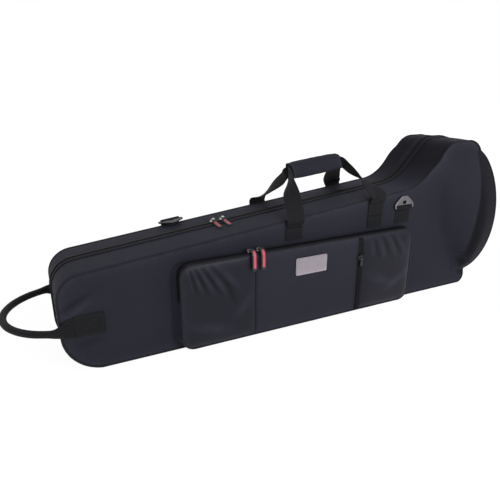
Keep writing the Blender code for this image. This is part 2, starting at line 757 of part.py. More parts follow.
def hooked_path(centre, leave, side_normal, radius, sweep, steps=7):
    """Points that go round a bar and leave it straight, in the plane of the two directions."""
    points = []
    for k in range(steps + 1):
        angle = math.radians(sweep) * (1 - k / steps)
        points.append(centre + side_normal * radius * math.cos(angle)
                      - leave * radius * math.sin(angle))
    return points


def slider_body(name, frame, flange_depth):
    """A zipper slider with a bridge bar, in a frame with X along the bar and Z outwards."""
    half, plate = SLIDER_HALF_WIDTH, SLIDER_PLATE
    bar_top = plate + BAR_LIFT + BAR_HALF_HEIGHT
    profile = [(-half, 0.0), (-half, plate), (-BAR_HALF_WIDTH, plate), (-BAR_HALF_WIDTH, bar_top),
               (BAR_HALF_WIDTH, bar_top), (BAR_HALF_WIDTH, plate), (half, plate)]
    if flange_depth > 0:
        profile += [(half, -flange_depth), (half - SLIDER_FLANGE, -flange_depth),
                    (half - SLIDER_FLANGE, 0.0)]
    else:
        profile += [(half, 0.0)]
    rings = [[frame @ Vector((x, y, z)) for y, z in profile]
             for x in (-SLIDER_LENGTH / 2, SLIDER_LENGTH / 2)]
    slider = skin(name, rings, "nickel", frame.translation)
    window = bpy.data.meshes.new(name + "_window")
    bm = bmesh.new()
    bmesh.ops.create_cube(bm, size=1.0)
    height = BAR_LIFT - BAR_HALF_HEIGHT
    size = Matrix.Diagonal((WINDOW_LENGTH, 4 * BAR_HALF_WIDTH, height, 1.0))
    lift = Matrix.Translation((0.0, 0.0, plate + height / 2))
    bm.transform(frame @ lift @ size)
    bm.to_mesh(window)
    bm.free()
    cutter = add_object(name + "_window", window, "nickel")
    cutter.hide_render = True
    cutter.display_type = "WIRE"
    cut = slider.modifiers.new("window", "BOOLEAN")
    cut.operation = "DIFFERENCE"
    cut.object = cutter
    return slider


def slider_pull(name, frame, run, finish="pull_rubber"):
    """A pull hooked round a slider's bar; `run` holds its way from the bar, as (out, up)."""
    bar = Vector((0.0, 0.0, SLIDER_PLATE + BAR_LIFT))
    away = Vector((0.0, -1.0, 0.0))
    up = Vector((0.0, 0.0, 1.0))
    hook = hooked_path(bar, away, up, HOOK_RADIUS, HOOK_SWEEP)
    tail = [bar + away * out + up * (HOOK_RADIUS + rise) for out, rise in run]
    path = [frame @ point for point in hook + tail]
    widths = [HOOK_WIDTH] * (len(hook) + 1) + [PULL_WIDTH] * (len(tail) - 1)
    thicknesses = [HOOK_THICKNESS] * (len(hook) + 1) + [PULL_THICKNESS] * (len(tail) - 1)
    along = (frame.to_3x3() @ Vector((1.0, 0.0, 0.0))).normalized()
    return strip(name, path, widths, thicknesses, [along] * len(path), finish, frame @ bar)


def main_sliders():
    """The two main sliders over the coil on the case's sloping top, with their pulls."""
    lift = GAP + COIL_HEIGHT + GAP
    for side, along in zip(("left", "right"), MAIN_SLIDERS):
        up = Vector((-math.sin(SLOPE), 0.0, math.cos(SLOPE)))
        spot = place(along, PARTING_Y, top_height(along)) + up * lift
        frame = Matrix.Translation(spot) @ Matrix.Rotation(-SLOPE, 4, "Y")
        slider_body("main_slider_" + side, frame, COIL_HEIGHT - TAPE_THICKNESS - GAP)
        slider_pull("main_pull_" + side, frame, MAIN_PULL_RUN)


def pocket_sliders():
    """The two sliders on the pocket's top zipper, with pulls that hang over its front edge."""
    lift = GAP + POCKET_COIL_HEIGHT + GAP
    for side, along in zip(("left", "right"), POCKET_SLIDERS):
        spot = place(along, -(HALF_DEPTH + POCKET_ZIP_OFFSET), POCKET_TOP + lift)
        frame = Matrix.Translation(spot)
        slider_body("pocket_slider_" + side, frame, POCKET_COIL_HEIGHT - TAPE_THICKNESS - GAP)
        slider_pull("pocket_pull_" + side, frame, POCKET_PULL_RUN)


def side_slider():
    """The slider of the upright side zipper, with a small metal pull that hangs down."""
    along = (SIDE_ZIP_LEFT + SIDE_ZIP_RIGHT) / 2
    height = POCKET_TOP - SIDE_SLIDER_DROP
    spot = place(along, -(POCKET_FRONT + TAPE_THICKNESS + GAP), height)
    frame = Matrix.Translation(spot) @ Matrix.Rotation(math.radians(90), 4, "X")
    slider_body("side_slider", frame, 0.0)
    slider_pull("side_pull", frame, SIDE_PULL_RUN, "nickel")


def strap_patch(name, along, side, bottom):
    """A sewn end of the handle webbing, flat on the panel below the handle's fold."""
    back = HALF_DEPTH + GAP
    top = HANDLE_HINGE_HEIGHT - PATCH_CLEARANCE
    profile = [(side * back, bottom), (side * (back + WEBBING_THICKNESS), bottom),
               (side * (back + WEBBING_THICKNESS), top), (side * back, top)]
    half = WEBBING_WIDTH / 2
    return extrude_profile(name, profile, along - half, along + half, "webbing")


def handle_leg(word, along, side, inward):
    """Points, sizes and width directions of one leg, from the panel up to the grip."""
    seat = HALF_DEPTH + GAP + WEBBING_THICKNESS / 2
    proud = HALF_DEPTH + 2 * GAP + 2 * PIPING_RADIUS + WEBBING_THICKNESS
    edge = top_height(along)
    points = [place(along, side * seat, HANDLE_HINGE_HEIGHT),
              place(along, side * (seat + GAP), edge - RAMP_FOOT),
              place(along, side * proud, edge - RAMP_HEAD),
              place(along, side * proud, edge + RAMP_HEAD)]
    widths = [WEBBING_WIDTH] * 4
    hints = [Vector((-inward, 0.0, 0.0))] * 4
    for station, depth, rise, twist, share in FREE_LEGS[word]:
        points.append(place(station, side * depth, HANDLE_HINGE_HEIGHT + rise))
        widths.append(WEBBING_WIDTH * share)
        turn = math.radians(twist)
        hints.append(Vector((-inward * math.cos(turn), 0.0, -math.sin(turn))))
    return points, widths, hints


def handle_strap(name, side, grip_y):
    """One free webbing loop of the carrying handle, folded flat on its panel at both ends."""
    word = name.split("_")[0]
    left, left_widths, left_hints = handle_leg(word + " left", STRAP_LEFT, side, 1)
    right, right_widths, right_hints = handle_leg(word + " right", STRAP_RIGHT, side, -1)
    frame = grip_frame()
    grip = [frame @ Vector((share * WRAP_LENGTH / 2, grip_y, 0.0)) for share in GRIP_SHARES]
    downward = (frame.to_3x3() @ Vector((0.0, 0.0, -1.0))).normalized()
    lengthwise = (frame.to_3x3() @ Vector((1.0, 0.0, 0.0))).normalized()
    square_to = {len(left) + k: lengthwise for k in range(len(grip))}
    path = left + grip + right[::-1]
    widths = left_widths + [GRIP_WIDTH] * len(grip) + right_widths[::-1]
    hints = left_hints + [downward] * len(grip) + right_hints[::-1]
    single = [WEBBING_THICKNESS] * len(left)
    thicknesses = single + [GRIP_THICKNESS] * len(grip) + single
    origin = place(WRAP_CENTRE, side * (HALF_DEPTH + GAP + WEBBING_THICKNESS / 2),
                   HANDLE_HINGE_HEIGHT)
    return strip(name, path, widths, thicknesses, hints, "webbing", origin, square_to)


def grip_frame():
    """The padded grip's frame: X along it, parallel to the case's sloping top."""
    centre = place(WRAP_CENTRE, 0.0, GRIP_HEIGHT)
    return Matrix.Translation(centre) @ Matrix.Rotation(-SLOPE, 4, "Y")


def wrap_half(name, side, finish, origin):
    """Half of the padded grip, as a C of padding on one side of the split."""
    steps = 10
    outer, inner = [], []
    for k in range(steps + 1):
        angle = math.pi * k / steps
        reach = side * math.sin(angle)
        rise = math.cos(angle)
        split = WRAP_SPLIT_Y + side * GAP / 2
        outer.append((split + reach * WRAP_REACH, rise * WRAP_HALF_HEIGHT))
        inner.append((split + reach * (WRAP_REACH - WRAP_WALL),
                      rise * (WRAP_HALF_HEIGHT - WRAP_WALL)))
    frame = grip_frame()
    rings = [[frame @ Vector((x, y, z)) for y, z in outer + inner[::-1]]
             for x in (-WRAP_LENGTH / 2, WRAP_LENGTH / 2)]
    return skin(name, rings, finish, origin)


def strap_ring(name, frame, lean):
    """A rounded triangular ring that hangs on its webbing fold, in a frame on its bar."""
    base = -RING_BAR / 2
    slot = base + RING_BAR
    right = [(RING_WIDTH / 2, base), (RING_WIDTH / 2, base + RING_SHOULDER),
             (RING_FLANK[0], base + RING_FLANK[1]), (RING_TOP / 2, base + RING_HEIGHT)]
    hole = [(SLOT_WIDTH / 2, slot), (SLOT_WIDTH / 2, slot + SLOT_HEIGHT),
            (EYE_FOOT[0], slot + EYE_FOOT[1]), (EYE_TOP[0], slot + EYE_TOP[1])]
    loops = []
    for half_outline, radius in ((right, RING_CORNER), (hole, RING_CORNER / 2)):
        corners = [Vector(c) for c in half_outline] + [Vector((-x, z))
                                                       for x, z in half_outline[::-1]]
        loop = []
        for k in range(len(corners)):
            loop += fillet(corners[k - 1], corners[k], corners[(k + 1) % len(corners)],
                           radius, 3)
        loops.append(loop)
    tilt = frame @ Matrix.Rotation(math.radians(lean), 4, "X")
    half = RING_THICKNESS / 2
    rings = []
    for out_point, in_point in zip(*loops):
        rings.append([tilt @ Vector((out_point.x, -half, out_point.y)),
                      tilt @ Vector((out_point.x, half, out_point.y)),
                      tilt @ Vector((in_point.x, half, in_point.y)),
                      tilt @ Vector((in_point.x, -half, in_point.y))])
    return skin(name, rings, "nickel", frame.translation, closed=True)


def shoulder_strap_rings():
    """Both rings, each with the webbing tab that folds round its bar."""
    across = Vector((1.0, 0.0, 0.0))
    seat = HALF_DEPTH + GAP + FOLD_THICKNESS / 2
    bar = place(FRONT_RING, -(seat + FOLD_RADIUS), FRONT_RING_HEIGHT)
    fold = hooked_path(bar, Vector((0.0, 0.0, -1.0)), Vector((0.0, 1.0, 0.0)), FOLD_RADIUS,
                       FOLD_SWEEP)
    path = fold + [place(FRONT_RING, -seat, PATCH_BOTTOM)]
    count = len(path)
    strip("front_ring_tab", path, [WEBBING_WIDTH] * count, [FOLD_THICKNESS] * count,
          [across] * count, "webbing")
    strap_ring("front_strap_ring", Matrix.Translation(bar), -FRONT_RING_LEAN)

    up = Vector((-math.sin(SLOPE), 0.0, math.cos(SLOPE)))
    spot = place(REAR_RING, REAR_RING_Y, top_height(REAR_RING)) + up * REAR_RING_LIFT
    frame = Matrix.Translation(spot) @ Matrix.Rotation(-SLOPE, 4, "Y")
    local_fold = hooked_path(Vector(), Vector((0.0, 0.0, -1.0)), Vector((0.0, 1.0, 0.0)),
                             FOLD_RADIUS, FOLD_SWEEP)
    foot = -(REAR_RING_LIFT + REAR_TAB_REACH)
    local_path = local_fold + [Vector((0.0, FOLD_RADIUS, -REAR_TAB_KNEE)),
                               Vector((0.0, seat - REAR_RING_Y, foot)),
                               Vector((0.0, seat - REAR_RING_Y, foot - REAR_TAB_LENGTH))]
    path = [frame @ point for point in local_path]
    tilted = (frame.to_3x3() @ across).normalized()
    count = len(path)
    strip("rear_ring_tab", path, [WEBBING_WIDTH] * count, [FOLD_THICKNESS] * count,
          [tilted] * count, "webbing")
    strap_ring("rear_strap_ring", frame, REAR_RING_LEAN)


def anchor_patch(name, side):
    """The sewn webbing that holds one end of the loop handle."""
    back = HALF_DEPTH + GAP
    middle = LOOP_HEIGHT if side == FRONT else LOOP_HEIGHT + LOOP_REAR_RISE
    low, high = middle - ANCHOR_WIDTH / 2, middle + ANCHOR_WIDTH / 2
    profile = [(side * back, low), (side * (back + ANCHOR_THICKNESS), low),
               (side * (back + ANCHOR_THICKNESS), high), (side * back, high)]
    return extrude_profile(name, profile, ANCHOR_START, ANCHOR_END, "webbing")


def end_loop():
    """The round sewn loop handle, flattened where it meets its patches."""
    flat_y = HALF_DEPTH + GAP + LOOP_FLAT_THICKNESS / 2
    over_y = HALF_DEPTH + 2 * GAP + 2 * PIPING_RADIUS + LOOP_FLAT_THICKNESS
    side_y = over_y + LOOP_SPREAD
    tip = LOOP_REACH - LOOP_RADIUS
    shoulder, lift, half_tall, half_thick = LOOP_SHOULDER
    ends = [(ANCHOR_START - GAP, flat_y, (LOOP_FLAT_WIDTH / 2, LOOP_FLAT_THICKNESS / 2)),
            (shoulder, flat_y + lift, (half_tall, half_thick))]
    ends += [(along, over_y + out, (tall, thick)) for along, out, tall, thick in LOOP_END]
    route = [(along, -y, 0.0, size) for along, y, size in ends]
    for k in range(1, 12):
        angle = math.pi * k / 12
        route.append((-tip * math.sin(angle) ** LOOP_TAPER, -side_y * math.cos(angle), k / 12,
                      (LOOP_RADIUS, LOOP_RADIUS)))
    route += [(along, y, 1.0, size) for along, y, size in reversed(ends)]
    centres = [place(along, y, LOOP_HEIGHT + LOOP_REAR_RISE * share)
               for along, y, share, _ in route]
    rings = []
    last = len(route) - 1
    sides = 8
    for k, (_, _, _, (half_tall, half_thick)) in enumerate(route):
        tangent = (centres[min(k + 1, last)] - centres[max(k - 1, 0)]).normalized()
        upright = Vector((0.0, 0.0, 1.0))
        normal = tangent.cross(upright)
        ring = []
        for j in range(sides):
            angle = 2 * math.pi * (j + 0.5) / sides
            ring.append(centres[k] + upright * half_tall * math.cos(angle)
                        + normal * half_thick * math.sin(angle))
        rings.append(ring)
    return skin("end_loop", rings, "webbing", smooth_angle=60.0)


def slotted_block(name, span, depth_y, height, slots, radius, open_side, finish="foam"):
    """A foam block with round-bottomed slots for tubes, open towards one side."""
    start, end = span
    back_y, face_y = depth_y
    low, high = height
    profile = [(back_y, low), (face_y, low)]
    for slot in slots:
        seat_y = face_y - open_side * radius * 1.2
        profile.append((face_y, slot - radius))
        for k in range(7):
            angle = math.pi * (k / 6 - 0.5)
            profile.append((seat_y - open_side * radius * math.cos(angle),
                            slot + radius * math.sin(angle)))
        profile.append((face_y, slot + radius))
    profile += [(face_y, high), (back_y, high)]
    return extrude_profile(name, profile, start, end, finish)


def block_heights(start):
    """Lowest and highest level of a block that fits inside the lining."""
    return BLOCK_INSET, top_height(start) - BLOCK_INSET - BLOCK_CLEARANCE


def rear_blocks():
    """Foam blocks in the rear half for the bell section, its bow and its bell."""
    back = HALF_DEPTH - BLOCK_INSET
    face = PARTING_Y + BLOCK_CLEARANCE
    slotted_block("neck_block", NECK_BLOCK, (back, face), block_heights(NECK_BLOCK[0]),
                  (LOWER_TUBE_HEIGHT, NECK_HEIGHT), TUBE_SLOT_RADIUS, FRONT)
    low, high = block_heights(CROOK_BLOCK[0])
    slant = CROOK_SLANT
    crook = [(back, low), (face + slant, low), (face, low + slant),
             (face, high - slant), (face + slant, high), (back, high)]
    extrude_profile("crook_block", crook, *CROOK_BLOCK, "foam")

    low, high = block_heights(BELL_CRADLE[0])
    half_angle = math.acos(face / CRADLE_RADIUS)
    arc = []
    for k in range(9):
        angle = half_angle * (2 * k / 8 - 1)
        arc.append((CRADLE_RADIUS * math.cos(angle), NECK_HEIGHT + CRADLE_RADIUS * math.sin(angle)))
    cradle = [(back, low), (face, low)] + arc + [(face, high), (back, high)]
    extrude_profile("bell_cradle", cradle, *BELL_CRADLE, "foam")

    pad = [(face + END_PAD_RADIUS * math.cos(math.pi * (k / 12 - 0.5)),
            BELL_CENTRE_HEIGHT + END_PAD_RADIUS * math.sin(math.pi * (k / 12 - 0.5)))
           for k in range(13)]
    inside = LENGTH - BLOCK_INSET
    extrude_profile("bell_end_pad", pad, inside - END_PAD_THICKNESS, inside, "foam")


def compartment():
    """The small inner box with its hinged lid, and the mouthpiece holder beside it."""
    back = HALF_DEPTH - BLOCK_INSET
    low, high = BOX_HEIGHTS
    outer = rounded_box(*BOX_SPAN, low, high, BOX_RADIUS, steps=2)
    inner = rounded_box(BOX_SPAN[0] + BOX_WALL, BOX_SPAN[1] - BOX_WALL, low + BOX_WALL,
                        high - BOX_WALL, BOX_RADIUS - BOX_WALL, steps=2)
    rings = [[place(p.x, back, p.y) for p in outer], [place(p.x, BOX_FRONT_Y, p.y) for p in outer],
             [place(p.x, BOX_FRONT_Y, p.y) for p in inner],
             [place(p.x, back - BOX_WALL, p.y) for p in inner]]
    skin("accessory_box", rings, "plush")
    near = BOX_FRONT_Y - GAP
    rings = [[place(p.x, y, p.y) for p in outer] for y in (near, near - BOX_LID)]
    skin("accessory_lid", rings, "plush", place(BOX_SPAN[0], near, high))

    front = back - 2 * HOLDER_HALF
    middle = back - HOLDER_HALF
    square = rounded_box(front, back, HOLDER_HEIGHT - HOLDER_HALF, HOLDER_HEIGHT + HOLDER_HALF,
                         HOLDER_CORNER, steps=3)
    bore = []
    for point in square:
        ray = Vector((point.x - middle, point.y - HOLDER_HEIGHT)).normalized() * HOLDER_BORE
        bore.append(Vector((middle + ray.x, HOLDER_HEIGHT + ray.y)))
    start, end = HOLDER_SPAN
    rings = []
    for out_point, in_point in zip(square, bore):
        rings.append([place(start, out_point.x, out_point.y), place(end, out_point.x, out_point.y),
                      place(end, in_point.x, in_point.y), place(start, in_point.x, in_point.y)])
    skin("mouthpiece_block", rings, "foam", closed=True)


def slide_supports():
    """Foam blocks and straps in the front half that hold the slide's two tubes."""
    back = -(HALF_DEPTH - BLOCK_INSET)
    face = back + SLIDE_BLOCK_DEPTH
    lower, upper = SLIDE_SLOTS
    margin = SLIDE_SLOT_RADIUS
    for label, start in SLIDE_BLOCKS:
        span = (start, start + SLIDE_BLOCK_LENGTH)
        levels = (BLOCK_INSET, upper + margin + SLIDE_BLOCK_MARGIN)
        slotted_block("slide_block_" + label, span, (back, face), levels, SLIDE_SLOTS, margin,
                      REAR)
    seat = back + SLIDE_STRAP_THICKNESS / 2
    shoulder = seat + SLIDE_STRAP_SHOULDER
    over = face + SLIDE_STRAP_LIFT
    route = ((seat, lower - 2.9 * margin), (seat, lower - 2.2 * margin),
             (shoulder, lower - 1.5 * margin), (over, lower),
             (over, upper), (shoulder, upper + 1.5 * margin),
             (seat, upper + 2.2 * margin), (seat, upper + 2.9 * margin))
    for label, along in SLIDE_STRAPS:
        path = [place(along, y, z) for y, z in route]
        count = len(path)
        strip("slide_strap_" + label, path, [SLIDE_STRAP_WIDTH] * count,
              [SLIDE_STRAP_THICKNESS] * count, [Vector((1.0, 0.0, 0.0))] * count, "webbing")


def walls():
    """Covers, shells, linings, piping and zipper tapes of both halves."""
    for word, side in (("front", FRONT), ("rear", REAR)):
        panel = panel_cover(word + "_panel_cover", side)
        gusset_cover(word + "_gusset_cover", side)
        tray(word + "_shell", side, SHELL_OUT, SHELL_IN, "shell_board")
        tray(word + "_lining", side, LINING_OUT, LINING_IN, "plush")
        piping(word + "_piping", side, panel)
        zipper_tape(word + "_zipper_tape", side)
    hinge_strip()


def carrying_handle():
    """Sewn patches, both free straps and the padded grip that joins them."""
    for word, side, bottom in (("front", FRONT, PATCH_BOTTOM), ("rear", REAR, REAR_PATCH_BOTTOM)):
        strap_patch(word + "_strap_patch_left", STRAP_LEFT, side, bottom)
        strap_patch(word + "_strap_patch_right", STRAP_RIGHT, side, bottom)
    strap = handle_strap("front_handle_strap", FRONT, FRONT_GRIP_Y)
    handle_strap("rear_handle_strap", REAR, REAR_GRIP_Y)
    wrap_half("handle_wrap", FRONT, "webbing", strap.location.copy())
    wrap_half("wrap_flap", REAR, "webbing", strap.location.copy())


def main():
    """Clear the file and build every piece of the case."""
    for item in list(bpy.data.objects):
        bpy.data.objects.remove(item, do_unlink=True)
    walls()
    pocket_gusset()
    pocket_front()
    pocket_zipper()
    side_zipper()
    badge()
    main_sliders()
    pocket_sliders()
    side_slider()
    carrying_handle()
    shoulder_strap_rings()
    anchor_patch("front_anchor_patch", FRONT)
    anchor_patch("rear_anchor_patch", REAR)
    end_loop()
    rear_blocks()
    compartment()
    slide_supports()


main()
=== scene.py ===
"""Trombone case: the dressed model, its studio and its camera.

Metres, +Z up. The case stands on its long bottom edge with the bell end towards +X and the front
panel towards -Y. Distances along the case are measured from its left end.
"""

import logging
import math
from bisect import bisect_right
from dataclasses import dataclass, field
from enum import Enum
from typing import Callable, ClassVar, Iterable, Sequence

import bmesh
import bpy
from bmesh.types import BMesh, BMVert
from bpy.types import Material, Node, NodeSocket, NodeTree, Object
from mathutils import Matrix, Vector, noise
from mathutils.kdtree import KDTree


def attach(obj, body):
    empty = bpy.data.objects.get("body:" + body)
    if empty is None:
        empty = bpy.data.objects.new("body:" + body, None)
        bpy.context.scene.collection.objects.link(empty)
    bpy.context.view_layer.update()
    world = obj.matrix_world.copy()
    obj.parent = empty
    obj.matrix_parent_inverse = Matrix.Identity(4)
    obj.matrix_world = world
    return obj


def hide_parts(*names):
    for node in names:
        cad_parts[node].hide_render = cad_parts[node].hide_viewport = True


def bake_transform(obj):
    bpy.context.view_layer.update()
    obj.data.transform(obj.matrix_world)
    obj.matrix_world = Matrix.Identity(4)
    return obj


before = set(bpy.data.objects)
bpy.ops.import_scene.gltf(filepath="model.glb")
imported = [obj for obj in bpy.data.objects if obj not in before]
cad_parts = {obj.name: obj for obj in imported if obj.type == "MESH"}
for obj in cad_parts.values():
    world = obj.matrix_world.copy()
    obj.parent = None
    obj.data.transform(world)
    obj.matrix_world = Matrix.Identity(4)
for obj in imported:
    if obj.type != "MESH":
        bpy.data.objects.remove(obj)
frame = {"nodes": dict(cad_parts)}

log = logging.getLogger("trombone_case")

CLOTH_UV = "cloth"
# Name of the attribute that holds wear along edges, and also a painted highlight on fold crests
# and painted shade below zero.
WEAR_AND_PAINTED_LIGHT = "wear_and_painted_light"
FLAT = 0.3
SEAM_STEP = 0.004
AWAY = Vector((1.0, 0.0, 0.0))
INWARD = Vector((0.0, 1.0, 0.0))
UPRIGHT = Vector((0.0, 0.0, 1.0))


# Small shared tools


def linear(code: str) -> tuple[float, float, float, float]:
    """Turn an sRGB hex colour into linear red, green, blue and alpha.

    Args:
        code: Six hex digits.

    Returns:
        The linear colour, with an alpha of 1.
    """
    parts = [int(code[k:k + 2], 16) / 255 for k in (0, 2, 4)]
    straight = [p / 12.92 if p <= 0.04045 else ((p + 0.055) / 1.055) ** 2.4 for p in parts]
    return (*straight, 1.0)


@dataclass
class Nodes:
    """The nodes of one material or world, and the shader that they feed."""

    tree: NodeTree
    shader: Node

    def fill(self, node: Node, settings: dict) -> None:
        """Fill in the settings of a node.

        Args:
            node: The node.
            settings: Properties by name, and values or output sockets by input name or number.
        """
        for key, value in settings.items():
            if isinstance(value, NodeSocket):
                self.tree.links.new(value, node.inputs[key])
            elif isinstance(key, str) and hasattr(node, key):
                setattr(node, key, value)
            else:
                node.inputs[key].default_value = value

    def feed(self, settings: dict) -> None:
        """Fill in the shader's inputs."""
        self.fill(self.shader, settings)

    def add(self, kind: str, settings: dict | None = None) -> Node:
        """Add a node with its settings.

        Args:
            kind: Blender's name of the node type, without its ShaderNode prefix.
            settings: Its settings, as fill() takes them.

        Returns:
            The new node.
        """
        made = self.tree.nodes.new("ShaderNode" + kind)
        self.fill(made, settings or {})
        return made

    def calc(self, operation: str, *values: float | NodeSocket) -> NodeSocket:
        """Add a Math node and return its output.

        Args:
            operation: Name of the operation.
            values: A number or an output socket for each input.

        Returns:
            The node's value socket.
        """
        return self.add("Math", {"operation": operation, **dict(enumerate(values))}).outputs[0]

    def mottle(self, scale: float, detail: float = 4.0) -> NodeSocket:
        """Add an even noise in the piece's own space.

        Args:
            scale: Patches per metre.
            detail: Octaves of the noise.

        Returns:
            The noise's value socket.
        """
        place = self.add("TexCoord").outputs["Object"]
        return self.add("TexNoise", {"Scale": scale, "Detail": detail,
                                     "Vector": place}).outputs["Fac"]

    def tint(self, colour: str, shares: Sequence[tuple[str, NodeSocket, float]]) -> None:
        """Lay tints over a base colour, each by its own mask.

        Args:
            colour: The base colour.
            shares: For each tint its colour, its mask and the mask's greatest share.
        """
        below = linear(colour)
        for code, mask, most in shares:
            share = self.calc("MULTIPLY", mask, most)
            below = self.add("Mix", {"data_type": "RGBA", 0: share, 6: below,
                                     7: linear(code)}).outputs[2]
        self.feed({"Base Color": below})

    def relief(self, height: NodeSocket, depth: float, strength: float = 1.0) -> None:
        """Turn a height into the surface's bump.

        Args:
            height: Socket with the height, from 0 to 1.
            depth: Real depth of the relief in metres.
            strength: Share of the relief that shows.
        """
        bump = self.add("Bump", {"Strength": strength, "Distance": depth, "Height": height})
        self.feed({"Normal": bump.outputs["Normal"]})

    def vary_roughness(self, middle: float, mask: NodeSocket, spread: float) -> None:
        """Let the roughness vary about a value.

        Args:
            middle: The value.
            mask: Socket from 0 to 1.
            spread: Greatest change either way.
        """
        made = self.add("MapRange", {"To Min": middle - spread, "To Max": middle + spread,
                                     "Value": mask})
        self.feed({"Roughness": made.outputs["Result"]})


class Side(Enum):
    """The half of the case that a piece belongs to, and the way that its panel faces."""

    FRONT = -1
    REAR = 1

    @property
    def body(self) -> str:
        """Name of the CAD body that carries this half."""
        return "lid" if self is Side.FRONT else "base"

    @property
    def word(self) -> str:
        """The side's word as the CAD nodes use it."""
        return self.name.lower()


class Slot(Enum):
    """The record's material slots."""

    BALLISTIC = "ballistic_nylon"
    SATIN = "satin_nylon"
    WEBBING = "webbing"
    PIPING = "piping"
    ZIPPER = "zipper"
    BOARD = "shell_board"
    PLUSH = "plush"
    FOAM = "foam"
    NICKEL = "nickel"
    RUBBER = "pull_rubber"
    PLATE = "badge_metal"


# Finishes


@dataclass(frozen=True)
class Finish:
    """A surface finish that is made into one material when a piece first asks for it."""

    name: str
    colour: str
    roughness: float

    def material(self) -> Material:
        """Fetch the finish's material, made on its first use."""
        found = bpy.data.materials.get(self.name)
        if found is None:
            found = bpy.data.materials.new(self.name)
            found.use_nodes = True
            nodes = Nodes(found.node_tree, found.node_tree.nodes["Principled BSDF"])
            nodes.feed({"Roughness": self.roughness, "Base Color": linear(self.colour)})
            self.dress(nodes)
        return found

    def dress(self, nodes: Nodes) -> None:
        """Add the finish's own nodes."""
        raise NotImplementedError


@dataclass(frozen=True)
class Cloth(Finish):
    """A cloth whose pattern follows its own cloth coordinates.

    The value that it reads lightens it along worn edges and paints a highlight on fold crests;
    where that value is below zero it darkens the cloth with painted shade.
    """

    crest: str = "44444c"
    # Colour of worn edges, also laid as a painted highlight on fold crests.
    worn_and_painted_light: str = "5a5a64"
    # Colour of the painted shade.
    painted_shade_colour: str = "0c0c10"
    pitch: float = 0.0016
    depth: float = 0.0004
    sheen: float = 0.2
    gloss: float = 0.08

    def threads(self, nodes: Nodes) -> tuple[NodeSocket, ...]:
        """Add the cloth coordinates along warp and weft, counted in threads."""
        cloth = nodes.add("UVMap", {"uv_map": CLOTH_UV})
        count = nodes.add("Mapping", {"Scale": (1 / self.pitch,) * 3,
                                      "Vector": cloth.outputs["UV"]})
        return tuple(nodes.add("SeparateXYZ", {0: count.outputs[0]}).outputs[:2])

    def ridge(self, nodes: Nodes, run: NodeSocket) -> NodeSocket:
        """Add the height of round threads across a coordinate, one to each unit."""
        return nodes.calc("ABSOLUTE", nodes.calc("SINE", nodes.calc("MULTIPLY", run, math.pi)))

    def weave(self, nodes: Nodes) -> NodeSocket:
        """Add a basket weave of paired threads and return its height socket."""
        warp, weft = self.threads(nodes)
        grid = nodes.add("CombineXYZ", {0: warp, 1: weft})
        turn = nodes.add("TexChecker", {"Scale": 0.5, "Vector": grid.outputs[0]})
        mix = nodes.add("Mix", {"data_type": "FLOAT", 0: turn.outputs["Fac"],
                                2: self.ridge(nodes, warp), 3: self.ridge(nodes, weft)})
        return mix.outputs[0]

    def dress(self, nodes: Nodes) -> None:
        """Give the shader its weave, its mottled tint, its worn edges, its painted highlights and
        painted shade, and its sheen.
        """
        height = self.weave(nodes)
        patches, fuzz = nodes.mottle(9.0), nodes.mottle(420.0, 2.0)
        worn_and_painted_light = nodes.add("Attribute", {"attribute_name": WEAR_AND_PAINTED_LIGHT}).outputs["Fac"]
        # Worn edges, and the painted highlight on fold crests.
        rubbed_and_painted_highlight = nodes.calc("MULTIPLY", worn_and_painted_light, nodes.mottle(60.0))
        # Painted shade where the value is below zero: fold valleys and the bell end.
        painted_shade_mask = nodes.calc("MULTIPLY", worn_and_painted_light, -1.0)
        nodes.tint(self.colour, ((self.crest, height, 0.55), ("111115", patches, 0.35),
                                 (self.worn_and_painted_light, rubbed_and_painted_highlight, 0.85), (self.painted_shade_colour, painted_shade_mask, 1.0)))
        rough = nodes.calc("ADD", nodes.calc("MULTIPLY", height, 0.5),
                           nodes.calc("MULTIPLY", patches, 0.5))
        nodes.vary_roughness(self.roughness, rough, 0.08)
        nodes.relief(nodes.calc("ADD", nodes.calc("MULTIPLY", height, 0.75),
                                nodes.calc("MULTIPLY", fuzz, 0.25)), self.depth)
        nodes.feed({"Sheen Weight": self.sheen, "Sheen Roughness": 0.45,
                    "Sheen Tint": linear("9c9cc0"), "Specular IOR Level": self.gloss})


@dataclass(frozen=True)
class Twill(Cloth):
    """A smooth cloth with fine slanting lines."""

    def weave(self, nodes: Nodes) -> NodeSocket:
        """Add slanting threads and return their height socket."""
        return self.ridge(nodes, nodes.calc("ADD", *self.threads(nodes)))


@dataclass(frozen=True)
class Herringbone(Cloth):
    """Webbing, with ribs that turn at each fold of its herringbone."""

    fold: float = 0.0095

    def weave(self, nodes: Nodes) -> NodeSocket:
        """Add ribs that lean one way and then the other across the webbing."""
        warp, weft = self.threads(nodes)
        lane = nodes.calc("MULTIPLY", weft, self.pitch / self.fold)
        lean = nodes.calc("PINGPONG", lane, 0.5)
        slant = nodes.calc("MULTIPLY", lean, 1.4 * self.fold / self.pitch)
        return self.ridge(nodes, nodes.calc("ADD", warp, slant))


@dataclass(frozen=True)
class Pile(Finish):
    """Plush or brushed knit: short fibres that scatter light, with no woven pattern."""

    lighter: str = "4a4a56"
    grain: float = 900.0
    depth: float = 0.0006
    sheen: float = 0.6

    def dress(self, nodes: Nodes) -> None:
        """Give the shader its fibres, its brushed patches and its sheen."""
        fibres, brushed = nodes.mottle(self.grain, 3.0), nodes.mottle(22.0)
        nodes.tint(self.colour, ((self.lighter, fibres, 0.6), ("0c0c10", brushed, 0.35)))
        nodes.relief(fibres, self.depth)
        nodes.vary_roughness(self.roughness, brushed, 0.05)
        nodes.feed({"Sheen Weight": self.sheen, "Sheen Roughness": 0.5})


